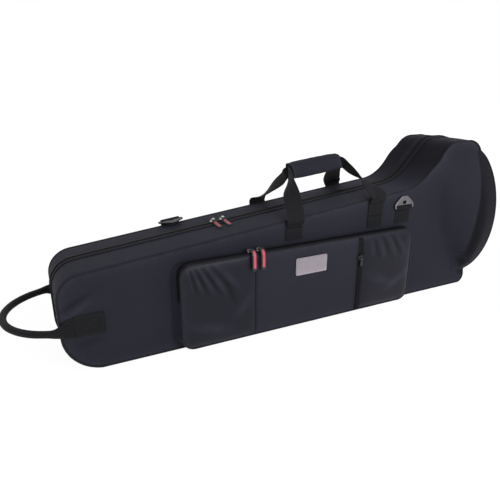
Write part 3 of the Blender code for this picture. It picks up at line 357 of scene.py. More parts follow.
@dataclass(frozen=True)
class Plated(Finish):
    """Plated or polished metal with fine handling marks."""

    dull: str = "8f8d8b"
    along: tuple[float, float, float] = (160.0, 160.0, 160.0)
    spread: float = 0.08

    def dress(self, nodes: Nodes) -> None:
        """Give the shader its metal, its clouded patches and its fine scratches."""
        place = nodes.add("TexCoord").outputs["Object"]
        drawn = nodes.add("Mapping", {"Scale": self.along, "Vector": place}).outputs[0]
        marks = nodes.add("TexNoise", {"Scale": 8.0, "Detail": 6.0, "Vector": drawn}
                          ).outputs["Fac"]
        nodes.tint(self.colour, ((self.dull, nodes.mottle(90.0), 0.5),))
        nodes.vary_roughness(self.roughness, marks, self.spread)
        nodes.relief(marks, 0.00004, 0.5)
        nodes.feed({"Metallic": 1.0})


@dataclass(frozen=True)
class Moulded(Finish):
    """Moulded rubber or nylon with a fine eggshell surface."""

    lighter: str = "3a3a3e"
    grain: float = 1600.0
    gloss: float = 0.3

    def dress(self, nodes: Nodes) -> None:
        """Give the shader its fine grain and its handled patches."""
        nodes.tint(self.colour, ((self.lighter, nodes.mottle(70.0), 0.45),))
        nodes.vary_roughness(self.roughness, nodes.mottle(120.0), 0.08)
        nodes.relief(nodes.mottle(self.grain, 2.0), 0.00012, 0.6)
        nodes.feed({"Specular IOR Level": self.gloss})


@dataclass(frozen=True)
class Board(Finish):
    """Pressed fibre board: short pale and dark fibres in a matt sheet."""

    fleck: str = "8b8580"

    def dress(self, nodes: Nodes) -> None:
        """Give the shader its flecks and its pressed grain."""
        flecks = nodes.mottle(700.0, 6.0)
        sharp = nodes.add("MapRange", {"From Min": 0.52, "From Max": 0.66, "Value": flecks}
                          ).outputs["Result"]
        nodes.tint(self.colour, ((self.fleck, sharp, 0.7), ("2a2827", nodes.mottle(40.0), 0.4)))
        nodes.relief(flecks, 0.0003)
        nodes.vary_roughness(self.roughness, flecks, 0.06)


# Ballistic nylon: a real basket weave has threads of about 0.7 mm, drawn at 1.5 mm so that it
# still shows. It scatters most light, with a faint cool sheen at a grazing angle.
BALLISTIC = Cloth("ballistic nylon, basket weave", "26262e", 0.68, crest="393945", worn_and_painted_light="4c4c5a",
                  sheen=0.06)
# Satin nylon: fine filament twill, smoother than the weave round it, so its folds catch the light.
SATIN = Twill("satin nylon, filament twill", "181820", 0.36, crest="282833", worn_and_painted_light="41414f",
              pitch=0.0011, depth=0.00008, sheen=0.04, gloss=0.12)
# Nylon webbing: thick ribs in a herringbone, a little glossy where the ribs turn over.
WEBBING = Herringbone("nylon webbing, herringbone", "101013", 0.66, crest="222324", worn_and_painted_light="2e2f33",
                      pitch=0.0019, depth=0.0006, sheen=0.03, gloss=0.15)
# Piping: a cord in a bias-cut cover, polished by handling.
PIPING = Twill("bias binding over cord", "1a1a1e", 0.54, crest="2a2a2f", worn_and_painted_light="36363e",
               pitch=0.0013, depth=0.0002, sheen=0.08)
# Zipper tape: a flat polyester twill.
TAPE = Twill("zipper tape, polyester twill", "141417", 0.62, crest="222226", worn_and_painted_light="2b2b31",
             pitch=0.0012, depth=0.0002, sheen=0.06)
# Zipper coil: smooth nylon filament, which shows small soft highlights.
COIL = Moulded("zipper coil, nylon filament", "101013", 0.5, lighter="1e1e22", gloss=0.1)
# Sewing thread: bonded nylon, a shade darker than the woven cloth.
THREAD = Moulded("bonded nylon thread", "1b1b1f", 0.55, lighter="28282f")
# Bright nickel plate: cast parts with soft highlights and fine handling marks.
NICKEL = Plated("bright nickel plate", "c4c1be", 0.26, dull="8a8886")
# Cast zinc: the ring's casting, satin bright, with darker hollows.
CAST = Plated("satin cast zinc", "78767a", 0.44, dull="514f53")
# Dark plate: a dull black coat on the side slider; on the rear ring it is painted shade, the front
# ring's casting drawn dark.
DARK_PLATE_AND_PAINTED_SHADE = Plated("dark plate and painted shade", "454549", 0.42, dull="2b2b2e")
# Satin plate: brushed aluminium, its scratches drawn along its length.
PLATE = Plated("brushed aluminium plate", "a29aa1", 0.36, dull="7c757f",
               along=(12.0, 160.0, 420.0), spread=0.12)
# Rubber of the pulls: a matt black border round a rose-red inlay.
BORDER = Moulded("moulded black rubber", "222226", 0.52)
INLAY = Moulded("moulded rose-red rubber", "b94255", 0.48, lighter="e07280")
# Plush lining: short upright pile.
PLUSH = Pile("short-pile plush", "26262e", 0.92, lighter="494956")
# Foam cover: brushed knit bonded to foam.
KNIT = Pile("brushed knit over foam", "33333c", 0.9, lighter="565664", grain=600.0, sheen=0.4)
# Shell: pressed fibre board.
FIBRE = Board("pressed fibre board", "625c57", 0.82)


# Meshes


@dataclass
class Spot:
    """One point of a sheet: its place, its cloth coordinates in metres, and its wear with painted
    light.

    The value lightens worn edges and paints a highlight on fold crests; below zero it is painted
    shade, which darkens the cloth.
    """

    position: Vector
    cloth: tuple[float, float]
    wear_and_painted_light: float = 0.0


def sheet_mesh(columns: int, rows: int, mapping: Callable[[float, float], Spot],
               cap: bool = False) -> BMesh:
    """Shape a grid by a mapping, and merge the edges that meet.

    Args:
        columns: Faces along the first direction.
        rows: Faces along the second direction.
        mapping: Gives the spot for a pair of shares from 0 to 1.
        cap: Whether open ends are filled.

    Returns:
        The shaped mesh.
    """
    bm = bmesh.new()
    cloth = bm.loops.layers.uv.new(CLOTH_UV)
    wear_and_painted_light = bm.verts.layers.float.new(WEAR_AND_PAINTED_LIGHT)
    bmesh.ops.create_grid(bm, x_segments=columns, y_segments=rows, size=0.5)
    for vert in bm.verts:
        spot = mapping(vert.co.x + 0.5, vert.co.y + 0.5)
        vert.co = spot.position
        vert[wear_and_painted_light] = spot.wear_and_painted_light
        for loop in vert.link_loops:
            loop[cloth].uv = spot.cloth
    bmesh.ops.remove_doubles(bm, verts=bm.verts[:], dist=1e-6)
    if cap:
        rims = [edge for edge in bm.edges if edge.is_boundary]
        bmesh.ops.holes_fill(bm, edges=rims, sides=0)
    return bm


def blank_mesh() -> BMesh:
    """Make an empty mesh with room for cloth coordinates."""
    bm = bmesh.new()
    bm.loops.layers.uv.new(CLOTH_UV)
    return bm


def add_tooth(bm: BMesh, spot: Vector, radius: float, length: float, axis: str) -> None:
    """Add one round zipper tooth.

    Args:
        bm: Mesh that gets the tooth.
        spot: Its middle.
        radius: Its radius.
        length: Its length.
        axis: Axis that it is turned about from upright.
    """
    turn = Matrix.Translation(spot) @ Matrix.Rotation(math.radians(90), 4, axis)
    bmesh.ops.create_cone(bm, cap_ends=True, segments=6, radius1=radius, radius2=radius,
                          depth=length, matrix=turn)


def face_out(bm: BMesh, centre: Vector) -> None:
    """Turn the faces of a mesh so that they look away from a point.

    Args:
        bm: Mesh to turn.
        centre: Point on the inner side of the mesh.
    """
    bmesh.ops.recalc_face_normals(bm, faces=bm.faces[:])
    total = sum(face.normal.dot(face.calc_center_median() - centre) * face.calc_area()
                for face in bm.faces)
    if total < 0:
        bmesh.ops.reverse_faces(bm, faces=bm.faces[:])


def raise_faces(bm: BMesh, height: float) -> None:
    """Extrude a flat mesh upwards.

    Args:
        bm: Mesh to extrude.
        height: How far to extrude it.
    """
    grown = bmesh.ops.extrude_face_region(bm, geom=bm.faces[:])
    lifted = [item for item in grown["geom"] if isinstance(item, BMVert)]
    bmesh.ops.translate(bm, vec=(0.0, 0.0, height), verts=lifted)
    bmesh.ops.recalc_face_normals(bm, faces=bm.faces[:])


def prism(outline: Sequence[Sequence[float]], low: float, high: float, bevel: float = 0.0,
          segments: int = 2) -> BMesh:
    """Extrude an outline upwards and round its sharp edges.

    Args:
        outline: Points of the outline in X and Y.
        low: Height of its lower face.
        high: Height of its upper face.
        bevel: Radius of the rounded edges.
        segments: Steps of the rounding.

    Returns:
        The closed mesh.
    """
    bm = blank_mesh()
    bm.faces.new([bm.verts.new((x, y, low)) for x, y in outline])
    raise_faces(bm, high - low)
    if bevel > 0:
        round_edges(bm, bevel, segments)
    return bm


def bevel_edges(bm: BMesh, edges: list, radius: float, segments: int) -> None:
    """Round some edges of a mesh.

    Args:
        bm: Mesh to bevel.
        edges: Its edges to round.
        radius: Width of the bevel.
        segments: Steps of the bevel.
    """
    bmesh.ops.bevel(bm, geom=edges, offset=radius, offset_type="OFFSET", segments=segments,
                    profile=0.5, affect="EDGES", material=-1, clamp_overlap=True)


def round_edges(bm: BMesh, radius: float, segments: int = 2, sharp: float = 0.6) -> None:
    """Bevel the edges of a mesh that are sharper than an angle.

    Args:
        bm: Mesh to bevel.
        radius: Width of the bevel.
        segments: Steps of the bevel.
        sharp: Least angle in radians.
    """
    edges = [edge for edge in bm.edges if edge.is_manifold and edge.calc_face_angle(0.0) > sharp]
    bevel_edges(bm, edges, radius, segments)


def join(parts: Iterable[BMesh]) -> BMesh:
    """Bring several meshes into one and free them.

    Args:
        parts: The meshes.

    Returns:
        The mesh that holds them all.
    """
    whole = blank_mesh()
    for part in parts:
        loose = bpy.data.meshes.new("loose")
        part.to_mesh(loose)
        part.free()
        whole.from_mesh(loose)
        bpy.data.meshes.remove(loose)
    return whole


def wrap_cloth(bm: BMesh) -> None:
    """Lay cloth coordinates on a mesh, flat along the axis that each face looks along.

    Args:
        bm: Mesh that gets the coordinates.
    """
    cloth = bm.loops.layers.uv.verify()
    for face in bm.faces:
        look = max(range(3), key=lambda axis: abs(face.normal[axis]))
        first, second = [axis for axis in range(3) if axis != look]
        for loop in face.loops:
            loop[cloth].uv = (loop.vert.co[first], loop.vert.co[second])


def put(name: str, data: bpy.types.ID, place: Matrix | None = None) -> Object:
    """Put a new object in the scene.

    Args:
        name: Its name.
        data: Its mesh, camera or lamp.
        place: Its place, or None for the frame's own.

    Returns:
        The new object.
    """
    made = bpy.data.objects.new(name, data)
    bpy.context.scene.collection.objects.link(made)
    if place is not None:
        made.matrix_world = place
    return made


def looking(eye: Sequence[float], aim: Sequence[float]) -> Matrix:
    """Frame at one point that looks at another."""
    turn = (Vector(aim) - Vector(eye)).to_track_quat("-Z", "Y").to_matrix().to_4x4()
    return Matrix.Translation(eye) @ turn


@dataclass
class Dresser:
    """Makes finished objects: names them, dresses them and lets them ride on their bodies."""

    count: int = 0

    def piece(self, name: str, bm: BMesh, finish: Finish, body: str | None,
              replaces: Sequence[str] = (), angle: float = 60.0
              ) -> Object:
        """Store a mesh as a finished piece.

        Args:
            name: Name of the piece.
            bm: Its mesh, which is freed.
            finish: Its finish.
            body: Body that it rides on, or None where it rides on neither.
            replaces: CAD nodes that it stands for.
            angle: Edges sharper than this stay sharp, in degrees.

        Returns:
            The new object.
        """
        mesh = bpy.data.meshes.new(name)
        bm.to_mesh(mesh)
        bm.free()
        mesh.shade_smooth()
        mesh.set_sharp_from_angle(angle=math.radians(angle))
        mesh.materials.append(finish.material())
        made = put(name, mesh)
        if body is not None:
            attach(made, body)
        if replaces:
            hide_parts(*replaces)
        self.count += 1
        log.info("%s: %d faces", name, len(mesh.polygons))
        return made

    def sheet(self, name: str, bm: BMesh, finish: Finish, body: str,
              node: str, centre: Vector, thickness: float, angle: float = 60.0
              ) -> Object:
        """Store a sheet as a finished piece and give it its thickness on its inner side.

        Args:
            name: Name of the piece.
            bm: Its mesh, which is freed.
            finish: Its finish.
            body: Body that it rides on.
            node: CAD node that it stands for.
            centre: Point on the sheet's inner side.
            thickness: Its thickness in metres.
            angle: Edges sharper than this stay sharp, in degrees.

        Returns:
            The new object.
        """
        face_out(bm, centre)
        made = self.piece(name, bm, finish, body, [node], angle)
        wall = made.modifiers.new("thickness", "SOLIDIFY")
        wall.thickness = thickness
        wall.offset = -1.0
        wall.use_even_offset = False
        return made


class Route:
    """A line of points that is read by the distance along it."""

    def __init__(self, points: Sequence[Vector], closed: bool = False) -> None:
        """Store the points and the distance to each.

        Args:
            points: Points of the line.
            closed: Whether the last point joins the first.
        """
        self.points = [Vector(point) for point in points]
        if closed:
            self.points.append(self.points[0].copy())
        self.marks = [0.0]
        for before, after in zip(self.points, self.points[1:]):
            self.marks.append(self.marks[-1] + (after - before).length)
        self.closed = closed
        self.length = self.marks[-1]

    def at(self, distance: float) -> Vector:
        """Point at a distance along the line."""
        if self.closed:
            distance %= self.length
        distance = min(max(distance, 0.0), self.length)
        k = min(bisect_right(self.marks, distance), len(self.marks) - 1)
        span = self.marks[k] - self.marks[k - 1]
        share = (distance - self.marks[k - 1]) / span if span > 0 else 0.0
        return self.points[k - 1].lerp(self.points[k], share)

    def heading(self, distance: float, step: float = 0.0015) -> Vector:
        """Direction of the line at a distance along it."""
        return (self.at(distance + step) - self.at(distance - step)).normalized()

    def spread(self, count: int) -> list[Vector]:
        """Evenly spread points along the line, without its end."""
        return [self.at(self.length * k / count) for k in range(count)]

    def beside(self, distance: float, rise: float) -> Vector:
        """Point at a distance along a flat line, moved to the line's right."""
        heading = self.heading(distance)
        return self.at(distance) + Vector((heading.y, -heading.x)) * rise

    def round_trip(self, share: float, columns: int) -> float:
        """Distance of one of the columns round a closed line, the last one back at the start."""
        return (round(share * columns) % columns) * self.length / columns

    def nearest(self, count: int) -> KDTree:
        """Tree of evenly spread points, for the distance of any place from a flat line."""
        tree = KDTree(count)
        for k, spot in enumerate(self.spread(count)):
            tree.insert((spot.x, spot.y, 0.0), k)
        tree.balance()
        return tree


def swell(value: float, power: float) -> float:
    """Raise a sine or cosine to a power and keep its sign, for a rounded square."""
    return math.copysign(abs(value) ** power, value)


def catmull(values: Sequence, share: float) -> Vector | float:
    """Read a smooth curve through evenly spread values.

    Args:
        values: Numbers or vectors that the curve passes through.
        share: Place on the curve, from 0 to 1.

    Returns:
        The curve's value there.
    """
    place = share * (len(values) - 1)
    k = min(int(place), len(values) - 2)
    t = place - k
    b, c = values[k], values[k + 1]
    a = values[k - 1] if k > 0 else b * 2 - c
    d = values[k + 2] if k + 2 < len(values) else c * 2 - b
    return (b * 2 + (c - a) * t + (a * 2 - b * 5 + c * 4 - d) * t ** 2
            + (b * 3 - a - c * 3 + d) * t ** 3) * 0.5


@dataclass
class Station:
    """One cross-section of a strap or cord."""

    centre: Vector
    across: Vector
    half_width: float
    half_thickness: float
    squareness: float = 1.0


def loft(stations: Sequence[Station], sides: int = 16, closed: bool = False,
         wear_and_painted_light: float = 0.0) -> BMesh:
    """Sweep rounded cross-sections along their stations.

    Args:
        stations: Cross-sections in order.
        sides: Points round each section.
        closed: Whether the last station joins the first.
        wear_and_painted_light: Wear along the two edges.

    Returns:
        The closed mesh.
    """
    ring = list(stations) + ([stations[0]] if closed else [])
    last = len(ring) - 1
    route = Route([station.centre for station in ring])

    def spot(u: float, v: float) -> Spot:
        k = round(u * last)
        here = ring[k]
        before = ring[k - 1] if k > 0 else ring[last - 1 if closed else 0]
        after = ring[k + 1] if k < last else ring[1 if closed else last]
        tangent = (after.centre - before.centre).normalized()
        across = (here.across - tangent * here.across.dot(tangent)).normalized()
        normal = tangent.cross(across)
        angle = 2 * math.pi * (round(v * sides) % sides) / sides
        edge = math.cos(angle)
        out = swell(edge, here.squareness) * here.half_width
        rise = swell(math.sin(angle), here.squareness) * here.half_thickness
        position = here.centre + across * out + normal * rise
        return Spot(position, (route.marks[k], out + rise * 0.5), wear_and_painted_light * abs(edge) ** 6)

    bm = sheet_mesh(last, sides, spot, cap=not closed)
    bmesh.ops.recalc_face_normals(bm, faces=bm.faces[:])
    return bm


def cord(spots: Sequence[Vector], across: Vector, radius: float) -> BMesh:
    """Sweep a round cord through points and back to the first.

    Args:
        spots: The points.
        across: Any direction across the cord.
        radius: Its radius.

    Returns:
        The closed mesh.
    """
    return loft([Station(spot, across, radius, radius) for spot in spots], 8, closed=True,
                wear_and_painted_light=1.0)


def webbing(route: Route, across: Vector, width: float, thickness: float, count: int,
            sides: int = 20, wear_and_painted_light: float = 1.0) -> BMesh:
    """Sweep flat webbing along a line.

    Args:
        route: Line through its middle.
        across: Direction of its width.
        width: Its width.
        thickness: Its thickness.
        count: Steps along it.
        sides: Points round it.
        wear_and_painted_light: Wear along its edges.

    Returns:
        The closed mesh.
    """
    return loft([Station(route.at(route.length * k / count), across, width / 2, thickness / 2,
                         FLAT) for k in range(count + 1)], sides, wear_and_painted_light=wear_and_painted_light)


def smooth_route(points: Sequence[Vector]) -> Route:
    """Lay a smooth line through points."""
    return Route([catmull(points, k / 60) for k in range(61)])


def smooth_stations(coarse: Sequence[Station], count: int) -> list[Station]:
    """Lay a smooth curve through coarse stations.

    Args:
        coarse: Stations that the curve passes through.
        count: Number of stations to make.

    Returns:
        The finer stations.
    """
    names = ("centre", "across", "half_width", "half_thickness", "squareness")
    runs = [[getattr(station, name) for station in coarse] for name in names]
    made = [Station(*(catmull(run, k / (count - 1)) for run in runs)) for k in range(count)]
    for station in made:
        station.across.normalize()
    return made


def round_corner(before: Vector, corner: Vector, after: Vector, radius: float,
                 steps: int) -> list[Vector]:
    """Round one corner of a path.

    Args:
        before: Point ahead of the corner.
        corner: The corner.
        after: Point behind it.
        radius: Radius of the arc.
        steps: Steps of the arc.

    Returns:
        Points of the arc.
    """
    inward, outward = (before - corner).normalized(), (after - corner).normalized()
    half = inward.angle(outward) / 2
    reach = radius / math.tan(half)
    centre = corner + (inward + outward).normalized() * radius / math.sin(half)
    first, last = corner + inward * reach - centre, corner + outward * reach - centre
    sweep = first.angle(last)
    return [centre + first * (math.sin((1 - k / steps) * sweep) / math.sin(sweep))
            + last * (math.sin(k / steps * sweep) / math.sin(sweep)) for k in range(steps + 1)]


def rounded_outline(corners: Sequence[Vector], radius: float, steps: int) -> list[Vector]:
    """Round every corner of a closed outline.

    Args:
        corners: Its corners.
        radius: Radius of the arcs.
        steps: Steps of each arc.

    Returns:
        Points of the outline.
    """
    points = []
    for k, corner in enumerate(corners):
        points += round_corner(corners[k - 1], corner, corners[(k + 1) % len(corners)], radius,
                               steps)
    return points


def rounded_box(left: float, right: float, low: float, high: float, radius: float,
                steps: int = 6) -> list[Vector]:
    """Outline of a rectangle with round corners.

    Args:
        left: Its least first coordinate.
        right: Its greatest first coordinate.
        low: Its least second coordinate.
        high: Its greatest second coordinate.
        radius: Radius of the corners.
        steps: Steps of each corner.

    Returns:
        Points of the outline, starting at the lower left.
    """
    corners = [Vector(c) for c in ((left, low), (right, low), (right, high), (left, high))]
    return rounded_outline(corners, radius, steps)


@dataclass(frozen=True)
class Fold:
    """A soft ridge across a cloth, or a valley where its height is negative."""

    start: tuple[float, float]
    end: tuple[float, float]
    height: float
    width: float
    spare: ClassVar[float] = 0.15

    def lift(self, along: float, height: float) -> float:
        """Height of the fold at one place on the cloth."""
        run = Vector(self.end) - Vector(self.start)
        offset = Vector((along, height)) - Vector(self.start)
        share = (offset.dot(run) / run.length_squared + self.spare) / (1 + 2 * self.spare)
        if not 0.0 < share < 1.0:
            return 0.0
        across = abs(offset.x * run.y - offset.y * run.x) / run.length
        taper = math.sin(math.pi * share)
        return self.height * taper * math.exp(-(across / self.width) ** 2)


def fold_rows(*rows: tuple[float, ...]) -> tuple[Fold, ...]:
    """Make folds from rows of a start, an end, a height and a width."""
    return tuple(Fold(row[:2], row[2:4], *row[4:]) for row in rows)


@dataclass
class Stitching:
    """Rows of short thread stitches, gathered into one mesh for each body."""

    length: float = 0.0024
    gap: float = 0.0014
    width: float = 0.0006
    runs: dict[str, list[BMesh]] = field(default_factory=dict)

    def row(self, body: str, points: Sequence[Vector], up: Callable[[Vector], Vector] | Vector
            ) -> None:
        """Sew a row of stitches along a line.

        Args:
            body: Body that the cloth rides on.
            points: The line's points.
            up: Direction away from the cloth, or a function that gives it at a point.
        """
        route = Route(points)
        pitch = self.length + self.gap
        count = max(1, int(route.length / pitch))
        bm = blank_mesh()
        for k in range(count):
            distance = (k + 0.5) * route.length / count
            spot, tangent = route.at(distance), route.heading(distance)
            away = up(spot) if callable(up) else up
            side = tangent.cross(away).normalized()
            away = side.cross(tangent)
            turn = Matrix((tangent, side, away)).transposed().to_4x4()
            size = Matrix.Diagonal((self.length, self.width, self.width, 1.0))
            bmesh.ops.create_cube(bm, size=1.0, matrix=Matrix.Translation(spot) @ turn @ size)
        self.runs.setdefault(body, []).append(bm)

    def box(self, body: str, corners: Sequence[Vector], out: Vector) -> None:
        """Sew a box with a cross in it, round four corners.

        Args:
            body: Body that the cloth rides on.
            corners: The corners in order.
            out: Direction away from the cloth.
        """
        for first, second in ((0, 1), (1, 2), (2, 3), (3, 0), (0, 2), (1, 3)):
            self.row(body, [corners[first], corners[second]], out)

    def finish(self, dresser: Dresser) -> None:
        """Make one piece of thread for each body."""
        for body, parts in self.runs.items():
            bm = join(parts)
            dresser.piece("stitching_" + body, bm, THREAD, body, angle=40.0)


# The form of the case


@dataclass(frozen=True)
class CaseForm:
    """Outline and depth of the case, as in the CAD source."""

    length: float = 0.92
    left_top: float = 0.173
    top_rise: float = 0.105
    flare_foot: float = 0.743
    flare_head: float = 0.825
    bell_top: float = 0.34
    top_radii: tuple[float, ...] = (0.045, 0.09, 0.045, 0.045)
    left_bottom_radius: float = 0.072
    right_bottom_radius: float = 0.02
    depth: float = 0.146
    parting_y: float = 0.014
    parting_gap: float = 0.00025
    bell_half_width: float = 0.139
    bell_half_height: float = 0.165
    crease_start: float = 0.775
    crease_top: float = 0.28
    crease_lean: float = 0.083
    crease_sweep: float = 0.1
    crease_softness: float = 0.05
    bell_rim: float = 0.885
    least_flare: float = 0.03
    flare_limit: float = 0.9
    coil_height: float = 0.003
    loop_reach: float = 0.09
    gap: float = 0.0003

    @property
    def half_depth(self) -> float:
        """Half of the body's depth."""
        return self.depth / 2

    @property
    def centre_x(self) -> float:
        """Distance along the case of the part's origin."""
        return (self.length + self.gap + self.coil_height - self.loop_reach) / 2

    @property
    def slope(self) -> float:
        """Angle of the sloping top."""
        return math.atan(self.top_rise)

    @property
    def up(self) -> Vector:
        """Direction away from the sloping top."""
        return Vector((-math.sin(self.slope), 0.0, math.cos(self.slope)))

    def place(self, along: float, y: float, z: float) -> Vector:
        """Turn a distance from the left end, a depth and a height into the part's frame."""
        return Vector((along - self.centre_x, y, z))

    def middle(self) -> Vector:
        """Point in the middle of the case, which every cover looks away from."""
        return self.place(self.length / 2, self.parting_y, 0.12)

    def seam_line(self, route: Route, rise: float, y: float) -> list[Vector]:
        """Points along a flat line, moved to its right, at one depth.

        Args:
            route: The line, in distances along the case and heights.
            rise: How far to move.
            y: The depth.

        Returns:
            The points in the part's frame.
        """
        spots = [route.beside(k * SEAM_STEP, rise)
                 for k in range(int(route.length / SEAM_STEP) + 1)]
        return [self.place(spot.x, y, spot.y) for spot in spots]

    def top(self, along: float) -> float:
        """Height of the straight part of the top."""
        return self.left_top + self.top_rise * along

    def bottom(self, along: float, inset: float) -> float:
        """Height of the bottom outline, moved inwards."""
        left = self.left_bottom_radius - inset
        right = self.right_bottom_radius - inset
        left_run = inset + left - along
        right_run = along - (self.length - inset - right)
        if left_run > 0:
            return inset + left - math.sqrt(max(0.0, left ** 2 - left_run ** 2))
        if right_run > 0:
            return inset + right - math.sqrt(max(0.0, right ** 2 - right_run ** 2))
        return inset

    def chain(self, inset: float) -> list[Vector]:
        """Points along the top outline, moved inwards, from the left end to the right end."""
        ends = [Vector(c) for c in ((0.0, 0.0), (0.0, self.left_top),
                                    (self.flare_foot, self.top(self.flare_foot)),
                                    (self.flare_head, self.bell_top),
                                    (self.length, self.bell_top), (self.length, 0.0))]
        lines = []
        for a, b in zip(ends, ends[1:]):
            run = (b - a).normalized()
            lines.append((a + Vector((run.y, -run.x)) * inset, run))
        corners = [Vector((inset, 0.0))]
        for (p, u), (q, v) in zip(lines, lines[1:]):
            share = ((q.x - p.x) * v.y - (q.y - p.y) * v.x) / (u.x * v.y - u.y * v.x)
            corners.append(p + u * share)
        corners.append(Vector((self.length - inset, 0.0)))
        turns = (-inset, inset, -inset, -inset)
        points = []
        for k, (radius, turn) in enumerate(zip(self.top_radii, turns)):
            arc = round_corner(corners[k], corners[k + 1], corners[k + 2], radius + turn, 14)
            if points:
                steps = (64, 6, 10)[k - 1]
                start = points[-1]
                points += [start.lerp(arc[0], j / steps) for j in range(1, steps)]
            points += arc
        return points

    def half_width(self, along: float, height: float) -> float:
        """Half of the outside depth at one place, with the bell's crease a little softened."""
        centre = self.bell_top - self.bell_half_height
        offset = (height - centre) / self.bell_half_height
        oval = self.bell_half_width * math.sqrt(max(0.0, 1.0 - offset * offset))
        extra = max(0.0, oval - self.half_depth)
        above = max(0.0, (self.crease_top - height) / self.crease_top)
        start = self.crease_start + self.crease_lean * above + self.crease_sweep * above ** 4
        start = min(start, self.flare_limit - self.least_flare)
        end = max(self.bell_rim, start + self.least_flare)
        share = (along - start) / (end - start)
        share = min(1.0, (share + math.hypot(share, self.crease_softness)) / 2)
        return self.half_depth + extra * share * (3.0 - share * share) / 2.0

    def outline(self, inset: float = 0.0) -> Route:
        """The closed outline of the case, moved inwards: bottom, right end, top, left end."""
        top = self.chain(inset)
        foot = [Vector((point.x, self.bottom(point.x, inset))) for point in top]
        return Route(foot + top[::-1], closed=True)


FORM = CaseForm()


@dataclass
class Section:
    """A group of pieces that follows the form of the case."""

    form: CaseForm = FORM


